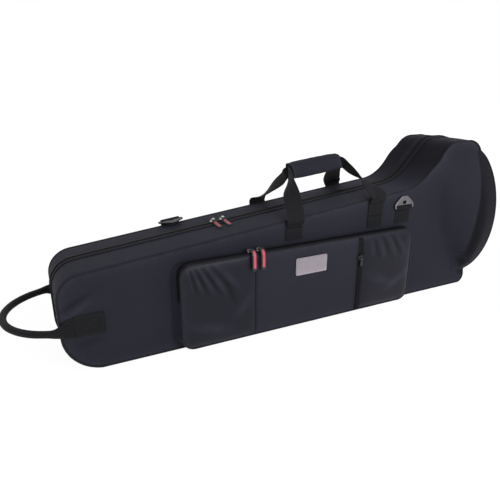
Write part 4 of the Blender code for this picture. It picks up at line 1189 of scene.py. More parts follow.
@dataclass
class WallCovers(Section):
    """The woven covers of both halves, with their corded seams."""

    thickness: float = 0.001
    edge_drop: float = 0.0028
    edge_reach: float = 0.0045
    dent: float = 0.0008
    crown: float = 0.0009
    pucker: float = 0.0005
    cord: float = 0.0021
    hinge_half: float = 0.006
    rows: int = 46
    band_rows: int = 12
    band_step: float = 0.004
    drum_middle: float = 0.17
    drum_half: float = 0.152
    drum_inset: float = 0.06
    drum_roll: float = 0.01
    # Share of painted shade beyond the drumhead's seam and on the band towards the bell.
    drum_painted_shade: float = 0.85
    # Scale of the painted highlight on fold crests and of the painted shade in fold valleys.
    fold_painted_light: float = 220.0
    drum_groove: float = 0.0012
    folds: tuple[Fold, ...] = fold_rows(
        (0.846, 0.118, 0.884, 0.062, -0.0022, 0.003),
        (0.838, 0.128, 0.876, 0.064, 0.0012, 0.005),
        (0.8, 0.262, 0.812, 0.205, -0.001, 0.005),
        (0.69, 0.235, 0.77, 0.262, -0.001, 0.006),
        (0.004, 0.116, 0.052, 0.142, -0.002, 0.005),
        (0.004, 0.102, 0.05, 0.128, 0.0022, 0.006),
        (0.004, 0.084, 0.04, 0.1, -0.002, 0.0045),
        (0.02, 0.05, 0.07, 0.06, -0.0014, 0.006))

    def __post_init__(self) -> None:
        """Measure the outline once, for the distance of any point from the seam."""
        self.near = self.form.outline().nearest(1600)

    def beyond(self, along: float, height: float) -> float:
        """Distance past the drumhead's seam, along the case."""
        offset = (height - self.drum_middle) / self.drum_half
        inset = self.drum_inset * math.sqrt(max(0.0, 1.0 - offset * offset))
        return along - (self.form.length - inset)

    def roll(self, along: float, height: float) -> float:
        """Depth lost where the front rolls back beyond the drumhead's seam, with its groove."""
        beyond = self.beyond(along, height)
        groove = self.drum_groove * math.exp(-(beyond / 0.0016) ** 2)
        return groove + self.drum_roll * (max(0.0, beyond) / self.drum_inset) ** 1.6

    def depth(self, along: float, height: float, side: Side) -> float:
        """Depth of the cover's outer face, with its soft edge, dents and folds."""
        to_seam = self.near.find((along, height, 0.0))[2]
        drop = self.edge_drop * math.exp(-to_seam / self.edge_reach)
        patch = noise.noise(Vector((along * 9, height * 13, side.value * 4.0)))
        dent = self.dent * max(0.0, patch) * min(1.0, to_seam / 0.02)
        lift = 0.0
        if side is Side.FRONT:
            lift = sum(fold.lift(along, height) for fold in self.folds)
            lift -= self.roll(along, height)
        return self.form.half_width(along, height) - drop - dent + lift

    def panel(self, side: Side) -> BMesh:
        """Mesh of one face of the case."""
        chain = self.form.chain(0.0)

        def spot(u: float, v: float) -> Spot:
            top = chain[round(u * (len(chain) - 1))]
            low = self.form.bottom(top.x, 0.0)
            share = v - 0.6 * math.sin(2 * math.pi * v) / (2 * math.pi)
            z = low + (top.y - low) * share
            y = side.value * self.depth(top.x, z, side)
            to_seam = self.near.find((top.x, z, 0.0))[2]
            wear_and_painted_light = math.exp(-to_seam / 0.006)
            # Ramp of the painted shade beyond the drumhead's seam.
            past = self.beyond(top.x, z) / 0.0025
            if side is Side.FRONT:
                # Painted highlight on fold crests, painted shade in fold valleys.
                wear_and_painted_light += self.fold_painted_light * sum(fold.lift(top.x, z) for fold in self.folds)
                # Painted shade on the front beyond the drumhead's seam.
                wear_and_painted_light -= (0.7 * wear_and_painted_light + self.drum_painted_shade) * min(1.0, max(0.0, past))
            return Spot(self.form.place(top.x, y, z), (top.x, z), wear_and_painted_light)

        return sheet_mesh(len(chain) - 1, self.rows, spot)

    def band(self, side: Side) -> BMesh:
        """Mesh of the band round one half's edge, from the zipper to the seam."""
        route = self.form.outline()
        columns = int(route.length / self.band_step)

        def spot(u: float, v: float) -> Spot:
            distance = route.round_trip(u, columns)
            here = route.at(distance)
            seam = side.value * self.depth(here.x, here.y, side)
            foot = self.form.left_bottom_radius
            flat = foot < here.x < self.form.length - self.form.right_bottom_radius
            back = self.hinge_half if flat and here.y < 0.001 else self.form.parting_gap
            rim = self.form.parting_y + side.value * back
            y = rim + (seam - rim) * v
            to_seam = abs(seam - y)
            rise = self.crown * math.sin(math.pi * v)
            gather = math.sin(2 * math.pi * distance / 0.024)
            gather *= noise.noise(Vector((distance * 17, side.value, 0.0)))
            rise += self.pucker * gather * math.exp(-to_seam / 0.01)
            rise -= 0.0012 * math.exp(-to_seam / 0.003)
            point = route.beside(distance, rise)
            z = max(point.y, 0.0004) if here.y < 0.001 else point.y
            wear_and_painted_light = math.exp(-to_seam / 0.006)
            # Painted shade on the upper band, from the flare towards the bell end.
            if here.y > self.form.bell_top / 4:
                past = min(1.0, max(0.0, here.x - self.form.flare_foot + 0.02) / 0.06)
                wear_and_painted_light -= (0.7 * wear_and_painted_light + self.drum_painted_shade) * past
            return Spot(self.form.place(point.x, y, z), (distance, y), wear_and_painted_light)

        return sheet_mesh(columns, self.band_rows, spot)

    def seam(self, side: Side) -> BMesh:
        """Mesh of the corded welt in the seam between panel and band."""
        route = self.form.outline(0.0009)
        spots = []
        for here in route.spread(int(route.length / self.band_step)):
            lost = self.roll(here.x, here.y) if side is Side.FRONT else 0.0
            y = side.value * (self.form.half_width(here.x, here.y) - lost - 0.0017)
            spots.append(self.form.place(here.x, y, max(here.y, self.cord)))
        return cord(spots, INWARD, self.cord)

    def build(self, dresser: Dresser) -> None:
        """Make the covers and seams of both halves."""
        for side in Side:
            body, word = side.body, side.word
            for part, bm in (("panel", self.panel(side)), ("gusset", self.band(side))):
                dresser.sheet(f"{word}_{part}", bm, BALLISTIC, body,
                              f"{word}_{part}_cover", self.form.middle(), self.thickness)
            dresser.piece(f"{word}_welt", self.seam(side), PIPING, body,
                          [f"{word}_piping"], angle=80.0)


@dataclass
class Trays(Section):
    """The board shells and their plush linings."""

    board_inset: float = 0.0042
    board_depth: float = 0.005
    lining_inset: float = 0.0098
    lining_depth: float = 0.0014
    roll_room: float = 0.008
    rows: int = 18

    def tray(self, side: Side, inset: float) -> BMesh:
        """Mesh of one open tray, with its wall up to the parting plane.

        Args:
            side: Half that the tray belongs to.
            inset: Distance inwards from the outer surface.

        Returns:
            The tray's sheet.
        """
        outer, inner = self.form.chain(0.0)[::2], self.form.chain(inset)[::2]

        def spot(u: float, v: float) -> Spot:
            k = round(u * (len(inner) - 1))
            low = self.form.bottom(inner[k].x, inset)
            z = low + (inner[k].y - low) * v
            near = [self.form.half_width(outer[k].x + step, z + rise)
                    for step in (-inset, 0.0, inset) for rise in (-inset, 0.0, inset)]
            spare = self.roll_room if outer[k].x > self.form.bell_rim else 0.0
            y = side.value * (min(near) - inset - spare)
            return Spot(self.form.place(inner[k].x, y, z), (inner[k].x, z))

        bm = sheet_mesh(len(inner) - 1, self.rows, spot)
        rim = [edge for edge in bm.edges if edge.is_boundary]
        grown = bmesh.ops.extrude_edge_only(bm, edges=rim)
        for item in grown["geom"]:
            if isinstance(item, BMVert):
                item.co.y = self.form.parting_y + side.value * self.form.parting_gap
        bevel_edges(bm, [edge for edge in rim if edge.is_valid], 0.004, 3)
        return bm

    def build(self, dresser: Dresser) -> None:
        """Make the shell and the lining of both halves."""
        for side in Side:
            for part, inset, depth, finish, slot in (
                    ("shell", self.board_inset, self.board_depth, FIBRE, Slot.BOARD),
                    ("lining", self.lining_inset, self.lining_depth, PLUSH, Slot.PLUSH)):
                dresser.sheet(f"{side.word}_{part}_tray", self.tray(side, inset), finish,
                              side.body, f"{side.word}_{part}", self.form.middle(), depth)


@dataclass
class MainZipper(Section):
    """The zipper round three sides: a tape on each half, and teeth that mesh between them."""

    tape_width: float = 0.016
    tape_thickness: float = 0.0008
    coil_width: float = 0.0048
    tooth_radius: float = 0.0012
    tooth_pitch: float = 0.0034
    lowest: float = 0.015
    step: float = 0.005

    def track(self) -> Route:
        """The zipper's line: from the left end's foot, over the top, to the right end's foot."""
        top = self.form.chain(0.0)
        left = []
        for point in top[:14]:
            height = self.form.bottom(point.x, 0.0)
            if height > self.lowest:
                left.insert(0, Vector((point.x, height)))
        foot = Vector((self.form.length, self.form.right_bottom_radius))
        return Route(left + top + [foot])

    def tape(self, side: Side, route: Route) -> BMesh:
        """Mesh of one half of the tape."""
        columns = int(route.length / self.step)
        near = self.form.parting_y + side.value * self.form.parting_gap

        def spot(u: float, v: float) -> Spot:
            distance = u * route.length
            y = near + side.value * self.tape_width * v
            rise = 0.0013 + self.tape_thickness * (1.0 - 0.5 * v ** 4)
            ripple = noise.noise(Vector((distance * 25, side.value * 3.0, 0.0)))
            rise += 0.0003 * ripple * v
            point = route.beside(distance, -rise)
            return Spot(self.form.place(point.x, y, point.y), (distance, y), v ** 6 * 0.2)

        return sheet_mesh(columns, 4, spot)

    def teeth(self, side: Side, route: Route) -> BMesh:
        """Mesh of one half's teeth."""
        count = int(route.length / self.tooth_pitch)
        bm = blank_mesh()
        shift = 0.25 if side is Side.FRONT else 0.75
        y = self.form.parting_y + side.value * (self.coil_width / 2 - 0.0012)
        for k in range(count):
            point = route.beside((k + shift) * route.length / count, -0.0026)
            add_tooth(bm, self.form.place(point.x, y, point.y), self.tooth_radius,
                      self.coil_width, "X")
        return bm

    def build(self, dresser: Dresser, stitching: Stitching) -> None:
        """Make both halves of the zipper and sew them down."""
        route = self.track()
        for side in Side:
            dresser.sheet(f"{side.word}_zip_tape", self.tape(side, route), TAPE, side.body,
                          f"{side.word}_zipper_tape", self.form.middle(),
                          self.tape_thickness)
            dresser.piece(f"{side.word}_zip_teeth", self.teeth(side, route), COIL, side.body,
                          angle=50.0)
            for offset in (0.0075, 0.0145):
                y = self.form.parting_y + side.value * offset
                stitching.row(side.body, self.form.seam_line(route, -0.002, y), self.away)

    def away(self, spot: Vector) -> Vector:
        """Direction from the middle of the case to a spot on its edge."""
        along = spot.x + self.form.centre_x
        if along < 0.01:
            return -AWAY
        if along > self.form.length - 0.005:
            return AWAY
        return UPRIGHT


@dataclass
class HingeStrip(Section):
    """The woven strip along the bottom that the two halves swing on."""

    half_width: float = 0.0057
    thickness: float = 0.001
    height: float = 0.0008

    def build(self, dresser: Dresser) -> None:
        """Make the strip between the two halves, attached to neither."""
        y = self.form.parting_y
        line = Route([self.form.place(along, y, self.height)
                      for along in (self.form.left_bottom_radius, self.form.bell_rim)])
        bm = webbing(line, INWARD, self.half_width * 2, self.thickness, 90, 16, 0.5)
        made = dresser.piece("hinge_webbing", bm, WEBBING, None, ["hinge_strip"])
        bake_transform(made)


@dataclass
class Pocket(Section):
    """The padded front pocket with its satin ends, its two zippers and its bare plate."""

    left: float = 0.198
    right: float = 0.714
    low: float = 0.01
    high: float = 0.172
    depth: float = 0.027
    radius: float = 0.022
    seam: float = 0.342
    zip_left: float = 0.5715
    zip_right: float = 0.5825
    puff: float = 0.0044
    flat_puff: float = 0.0008
    edge_drop: float = 0.0026
    edge_reach: float = 0.004
    cord: float = 0.002
    zip_offset: float = 0.0155
    tape_half: float = 0.009
    zip_drop: float = 0.07
    thickness: float = 0.001
    skirt: float = 0.009
    # Scale of the painted highlight on fold crests and of the painted shade in fold valleys.
    fold_painted_light: float = 420.0
    plate_centre: tuple[float, float] = (0.46, 0.133)
    plate_size: tuple[float, float] = (0.07, 0.035)
    plate_thickness: float = 0.0014
    plate_lift: float = 0.0014
    left_folds: tuple[Fold, ...] = fold_rows(
        (0.21, 0.164, 0.218, 0.126, 0.0014, 0.0026),
        (0.218, 0.167, 0.236, 0.12, 0.0017, 0.0032),
        (0.229, 0.168, 0.257, 0.116, 0.0018, 0.0038),
        (0.242, 0.169, 0.282, 0.11, 0.0017, 0.0044),
        (0.258, 0.17, 0.308, 0.116, 0.0014, 0.005),
        (0.214, 0.167, 0.226, 0.118, -0.0024, 0.0022),
        (0.224, 0.168, 0.246, 0.114, -0.0026, 0.0024),
        (0.236, 0.169, 0.27, 0.11, -0.0026, 0.0026),
        (0.25, 0.17, 0.295, 0.112, -0.002, 0.003),
        (0.278, 0.13, 0.3, 0.086, -0.0018, 0.005),
        (0.205, 0.06, 0.29, 0.035, 0.0014, 0.009),
        (0.3, 0.06, 0.335, 0.1, 0.0012, 0.008))
    right_folds: tuple[Fold, ...] = fold_rows(
        (0.598, 0.166, 0.606, 0.128, 0.0014, 0.004),
        (0.618, 0.168, 0.634, 0.124, 0.0017, 0.0045),
        (0.64, 0.169, 0.664, 0.122, 0.0016, 0.0045),
        (0.664, 0.168, 0.69, 0.124, 0.0014, 0.004),
        (0.608, 0.168, 0.62, 0.126, -0.0018, 0.0026),
        (0.628, 0.168, 0.648, 0.126, -0.002, 0.0028),
        (0.651, 0.168, 0.677, 0.126, -0.002, 0.0028),
        (0.592, 0.09, 0.66, 0.06, 0.0012, 0.009),
        (0.64, 0.045, 0.7, 0.08, 0.0012, 0.009))

    @property
    def front(self) -> float:
        """Distance of the pocket's front from the middle of the case."""
        return self.form.half_depth + self.depth

    def outline(self, inset: float) -> list[Vector]:
        """Points of the pocket's outline, moved inwards."""
        return rounded_box(self.left + inset, self.right - inset, self.low + inset,
                           self.high - inset, self.radius - inset)

    def limits(self, along: float) -> tuple[float, float]:
        """Lowest and highest point of the front at one distance along the case."""
        run = max(self.left + self.radius - along, along - (self.right - self.radius), 0.0)
        drop = self.radius - math.sqrt(max(0.0, self.radius ** 2 - run ** 2))
        return self.low + drop, self.high - drop

    def panel(self, start: float, end: float, puff: float, folds: Sequence[Fold],
              columns: int) -> BMesh:
        """Mesh of one front panel.

        Args:
            start: Its left edge.
            end: Its right edge.
            puff: How far its middle stands out.
            folds: Folds across it.
            columns: Faces along it.

        Returns:
            The panel's sheet.
        """
        near = Route(self.outline(0.0), closed=True).nearest(900)
        rounded_left = start <= self.left
        rounded_right = end >= self.right

        def spot(u: float, v: float) -> Spot:
            share = u - 0.5 * math.sin(2 * math.pi * u) / (2 * math.pi)
            if rounded_left:
                share = u ** 1.6
            if rounded_right:
                share = 1 - (1 - u) ** 1.6
            along = start + (end - start) * share
            low, high = self.limits(along)
            part = v - 0.5 * math.sin(2 * math.pi * v) / (2 * math.pi)
            z = low + (high - low) * part
            to_rim = near.find((along, z, 0.0))[2]
            to_seam = min(along - start if not rounded_left else 1.0,
                          end - along if not rounded_right else 1.0)
            soft = (1 - math.exp(-to_rim / 0.014)) * (1 - math.exp(-max(to_seam, 0.0) / 0.012))
            lift = puff * soft - self.edge_drop * math.exp(-to_rim / self.edge_reach)
            lift -= 0.0008 * math.exp(-max(to_seam, 0.0) / 0.002)
            fold = soft * sum(crease.lift(along, z) for crease in folds)
            lift += fold
            ripple = noise.noise(Vector((along * 26, z * 26, start * 50)))
            lift += 0.0005 * ripple * soft
            y = -(self.front + lift)
            # Wear at the rim, plus a painted highlight on fold crests and painted shade in fold
            # valleys.
            wear_and_painted_light = math.exp(-to_rim / 0.005) + self.fold_painted_light * fold
            return Spot(self.form.place(along, y, z), (along, z), wear_and_painted_light)

        return sheet_mesh(columns, 52, spot)

    def band(self) -> BMesh:
        """Mesh of the band that carries the pocket's front off the case."""
        route = Route(self.outline(0.0), closed=True)
        columns = int(route.length / 0.004)
        back, front = self.form.half_depth - 0.0004, self.front - 0.0026

        def spot(u: float, v: float) -> Spot:
            distance = route.round_trip(u, columns)
            away = route.heading(distance).y
            gather = noise.noise(Vector((distance * 30, 3.0, v * 2)))
            rise = 0.0006 * math.sin(math.pi * v) + 0.0005 * gather * v
            rise -= 0.001 * math.exp(-(1 - v) * (front - back) / 0.003)
            skirt = self.skirt * max(0.0, -away) ** 2 * max(0.0, 1 - 2 * v) ** 1.5
            point = route.beside(distance, rise + skirt)
            y = -(back + (front - back) * v)
            return Spot(self.form.place(point.x, y, point.y), (distance, y), v ** 8)

        return sheet_mesh(columns, 10, spot)

    def welt(self) -> BMesh:
        """Mesh of the corded welt round the pocket's front."""
        route = Route(self.outline(0.0009), closed=True)
        y = -(self.front - 0.0016)
        spots = []
        for k, here in enumerate(route.spread(int(route.length / 0.003))):
            wander = 0.0003 * noise.noise(Vector((k * 0.11, 0.0, 0.0)))
            spots.append(self.form.place(here.x, y + wander, here.y))
        return cord(spots, INWARD, self.cord)

    def zip_route(self) -> Route:
        """The top zipper's line: up the right side, over the top and down the left side."""
        outline = self.outline(0.0)
        over = outline[len(outline) // 2:]
        foot = self.high - self.zip_drop
        return Route([Vector((self.right, foot))] + over + [Vector((self.left, foot))])

    def top_zip(self) -> tuple[BMesh, BMesh]:
        """Meshes of the top zipper's tape and of its teeth."""
        route = self.zip_route()
        columns = int(route.length / 0.004)
        middle = -(self.form.half_depth + self.zip_offset)

        def spot(u: float, v: float) -> Spot:
            distance = u * route.length
            across = self.tape_half * (2 * v - 1)
            point = route.beside(distance, 0.0013 - 0.0004 * abs(2 * v - 1) ** 4)
            return Spot(self.form.place(point.x, middle + across, point.y), (distance, across))

        teeth = blank_mesh()
        count = int(route.length / 0.003)
        for k in range(count):
            point = route.beside((k + 0.5) * route.length / count, 0.0016)
            shift = 0.0005 if k % 2 else -0.0005
            add_tooth(teeth, self.form.place(point.x, middle + shift, point.y), 0.001, 0.0052, "X")
        return sheet_mesh(columns, 6, spot), teeth

    def side_zip(self) -> tuple[BMesh, BMesh]:
        """Meshes of the upright side zipper's tape and of its teeth."""
        centre = (self.zip_left + self.zip_right) / 2
        half = (self.zip_right - self.zip_left) / 2 + 0.0006
        low, high = self.low + 0.0012, self.high - 0.0012

        def spot(u: float, v: float) -> Spot:
            z = low + (high - low) * v
            across = half * (2 * u - 1)
            end = min(z - low, high - z)
            gape = max(0.0, (z - 0.142) / (high - 0.142)) if z > 0.142 else 0.0
            sink = 0.001 + 0.0035 * gape * (1 - abs(2 * u - 1) ** 2)
            sink += self.edge_drop * math.exp(-end / self.edge_reach)
            return Spot(self.form.place(centre + across, -(self.front - sink), z), (z, across))

        teeth = blank_mesh()
        count = int((0.138 - low) / 0.0026)
        for k in range(count):
            z = low + 0.004 + k * 0.0026
            shift = 0.0004 if k % 2 else -0.0004
            add_tooth(teeth, self.form.place(centre + shift, -(self.front - 0.0004), z), 0.0009,
                      0.0042, "Y")
        return sheet_mesh(6, 60, spot), teeth

    def plate(self) -> BMesh:
        """Mesh of the bare plate, with a raised rim."""
        half_x, half_z = self.plate_size[0] / 2, self.plate_size[1] / 2
        outline = rounded_box(-half_x, half_x, -half_z, half_z, 0.004)
        bm = prism(outline, 0.0, self.plate_thickness)
        top = [face for face in bm.faces if face.normal.z > 0.9]
        bmesh.ops.inset_region(bm, faces=top, thickness=0.0014, depth=0.0)
        bmesh.ops.inset_region(bm, faces=top, thickness=0.0005, depth=-0.0005)
        round_edges(bm, 0.0003, 2)
        centre, height = self.plate_centre
        turn = Matrix.Rotation(math.radians(90), 4, "X")
        spot = self.form.place(centre, -(self.front + self.plate_lift), height)
        bm.transform(Matrix.Translation(spot) @ turn)
        return bm

    def build(self, dresser: Dresser, stitching: Stitching) -> None:
        """Make every piece of the pocket and sew it down."""
        inside = self.form.place((self.left + self.right) / 2, -self.form.half_depth, 0.09)
        sheets = (
            ("pocket_left", self.panel(self.left, self.seam, self.puff, self.left_folds, 64),
             SATIN, Slot.SATIN, "pocket_left_panel"),
            ("pocket_centre", self.panel(self.seam, self.zip_left, self.flat_puff, (), 70),
             BALLISTIC, Slot.BALLISTIC, "pocket_centre_panel"),
            ("pocket_right", self.panel(self.zip_right, self.right, self.puff,
                                        self.right_folds, 64),
             SATIN, Slot.SATIN, "pocket_right_panel"),
            ("pocket_band", self.band(), BALLISTIC, Slot.BALLISTIC, "pocket_gusset"),
        )
        for name, bm, finish, slot, node in sheets:
            dresser.sheet(name, bm, finish, "lid", node, inside, self.thickness)
        dresser.piece("pocket_welt", self.welt(), PIPING, "lid", ["pocket_piping"],
                      angle=80.0)
        for name, node, (tape, teeth) in (("pocket_zip", "pocket_zipper", self.top_zip()),
                                          ("side_zip", "side_zipper", self.side_zip())):
            dresser.sheet(name + "_tape", tape, TAPE, "lid", node, inside, 0.0006)
            dresser.piece(name + "_teeth", teeth, COIL, "lid", angle=50.0)
        dresser.piece("bare_plate", self.plate(), PLATE, "lid", ["badge"], angle=30.0)
        self.sew(stitching)

    def sew(self, stitching: Stitching) -> None:
        """Sew the pocket's seams and both edges of its top zipper."""
        out = -INWARD
        for along, lift in ((self.seam + 0.0035, 0.0008), (self.zip_left - 0.003, 0.0006),
                            (self.zip_right + 0.003, 0.002)):
            points = [self.form.place(along, -(self.front + lift), self.low + 0.008 + k * 0.004)
                      for k in range(int((self.high - self.low - 0.016) / 0.004) + 1)]
            stitching.row("lid", points, out)
        route = self.zip_route()
        for shift in (-0.0078, 0.0078):
            y = -(self.form.half_depth + self.zip_offset) + shift
            stitching.row("lid", self.form.seam_line(route, 0.0014, y), UPRIGHT)


@dataclass
class Slider:
    """A zipper slider with its bail and its pull."""

    name: str
    pull: str
    frame: Matrix
    run: tuple[tuple[float, float], ...]
    metal_pull: bool = False
    length: float = 0.012
    half_width: float = 0.0062
    plate: float = 0.0016
    flange: float = 0.0017
    bar_lift: float = 0.0027
    hook_radius: float = 0.0019
    pull_width: float = 0.0095
    pull_thickness: float = 0.0028

    def body(self) -> BMesh:
        """Mesh of the slider's plates and its bail."""
        half = self.length / 2
        wide, slim = self.half_width, self.half_width * 0.66
        flank = ((-half, -slim), (-half * 0.2, -slim * 1.12), (half * 0.55, -wide),
                 (half, -wide * 0.62))
        outline = [*flank, (half * 0.86, 0.0), *((x, -y) for x, y in reversed(flank))]
        parts = [prism(outline, 0.0, self.plate, 0.0005, 3)]
        for side in (-1, 1):
            rail = [(-half * 0.8, side * slim * 0.86), (half * 0.7, side * wide * 0.9),
                    (half * 0.7, side * wide * 0.72), (-half * 0.8, side * slim * 0.66)]
            if self.flange > 0:
                parts.append(prism(rail, -self.flange, 0.0002, 0.0002, 1))
        top = self.plate + self.bar_lift
        low = self.plate * 0.6
        arch = ((-0.86, low), (-0.8, top * 0.8), (-0.48, top), (0.4, top), (0.7, top * 0.8),
                (0.76, low))
        coarse = [Station(Vector((half * share, 0.0, z)), INWARD, 0.001, 0.0007, 0.6)
                  for share, z in arch]
        parts.append(loft(smooth_stations(coarse, 26), 10))
        bm = join(parts)
        bm.transform(self.frame)
        return bm

    def line(self) -> tuple[list[Vector], list[Vector]]:
        """The hook's way round the bar, and the pull's way from it."""
        bar = Vector((0.0, 0.0, self.plate + self.bar_lift))
        hook = []
        for k in range(15):
            angle = math.radians(255) * (1 - k / 14)
            hook.append(bar + Vector((0.0, self.hook_radius * math.sin(angle),
                                      self.hook_radius * math.cos(angle))))
        tail = [bar + Vector((0.0, -out, self.hook_radius + rise)) for out, rise in self.run]
        return hook, tail

    def strap(self, points: Sequence[Vector], half_width: float, half_thickness: float,
              taper: float, count: int = 34) -> BMesh:
        """Sweep a flat rounded bar along points.

        Args:
            points: The way of the bar.
            half_width: Half of its width.
            half_thickness: Half of its thickness.
            taper: Length over which its ends are rounded.
            count: Number of cross-sections.

        Returns:
            The bar's mesh, in the part's frame.
        """
        route = smooth_route(points)
        stations = []
        for k in range(count):
            distance = route.length * k / (count - 1)
            end = min(1.0, (min(distance, route.length - distance) + 0.0002) / taper)
            share = math.sqrt(end * 2 - end ** 2)
            stations.append(Station(route.at(distance), AWAY, half_width * max(share, 0.12),
                                    half_thickness * max(share, 0.3), 0.45))
        bm = loft(stations, 16)
        bm.transform(self.frame)
        return bm

    def build(self, dresser: Dresser) -> None:
        """Make the slider and its pull."""
        metal = DARK_PLATE_AND_PAINTED_SHADE if self.metal_pull else NICKEL
        dresser.piece(self.name + "_body", self.body(), metal, self.name,
                      [self.name], angle=35.0)
        hook, tail = self.line()
        link = self.strap(hook + tail[:2], 0.0024, 0.0006, 0.0008)
        if self.metal_pull:
            grip = self.strap(tail, self.pull_width * 0.3, 0.0007, 0.004)
            dresser.piece(self.pull + "_tag", join([link, grip]), metal, self.pull,
                          [self.pull], angle=40.0)
            return
        dresser.piece(self.pull + "_link", link, NICKEL, self.pull, angle=40.0)
        half = self.pull_thickness / 2
        dresser.piece(self.pull + "_grip", self.strap(tail, self.pull_width / 2, half, 0.0045),
                      BORDER, self.pull, [self.pull], angle=50.0)
        route = smooth_route(tail)
        inner = [route.at(route.length * (0.16 + 0.74 * k / 20)) for k in range(21)]
        dresser.piece(self.pull + "_inlay", self.strap(inner, self.pull_width * 0.29,
                                                       half + 0.0004, 0.003),
                      INLAY, self.pull, angle=50.0)


@dataclass
class Sliders(Section):
    """All five sliders with their pulls."""

    pocket: Pocket = field(default_factory=Pocket)
    main: tuple[float, float] = (0.306, 0.326)
    top: tuple[float, float] = (0.335, 0.353)
    side_height: float = 0.127
    main_run: tuple[tuple[float, float], ...] = (
        (0.0055, -0.0003), (0.01, -0.004), (0.015, -0.0068), (0.027, -0.0073),
        (0.04, -0.0078))
    top_run: tuple[tuple[float, float], ...] = (
        (0.0055, 0.0), (0.0105, -0.0007), (0.0155, -0.0029), (0.0188, -0.0085),
        (0.0196, -0.023), (0.02, -0.038))
    side_run: tuple[tuple[float, float], ...] = (
        (0.004, -0.0004), (0.0085, -0.001), (0.0125, -0.001), (0.0165, -0.001))

    def build(self, dresser: Dresser) -> None:
        """Make every slider at its place on its track."""
        form, pocket = self.form, self.pocket
        for word, along in zip(("left", "right"), self.main):
            spot = form.place(along, form.parting_y, form.top(along)) + form.up * 0.0036
            turn = Matrix.Rotation(-form.slope, 4, "Y")
            Slider(f"main_slider_{word}", f"main_pull_{word}", Matrix.Translation(spot) @ turn,
                   self.main_run).build(dresser)
        for word, along in zip(("left", "right"), self.top):
            spot = form.place(along, -(form.half_depth + pocket.zip_offset), pocket.high + 0.0031)
            Slider(f"pocket_slider_{word}", f"pocket_pull_{word}", Matrix.Translation(spot),
                   self.top_run).build(dresser)
        along = (pocket.zip_left + pocket.zip_right) / 2
        spot = form.place(along, -(pocket.front + 0.0011), self.side_height)
        turn = Matrix.Rotation(math.radians(90), 4, "X")
        Slider("side_slider", "side_pull", Matrix.Translation(spot) @ turn, self.side_run,
               metal_pull=True, flange=0.0).build(dresser)


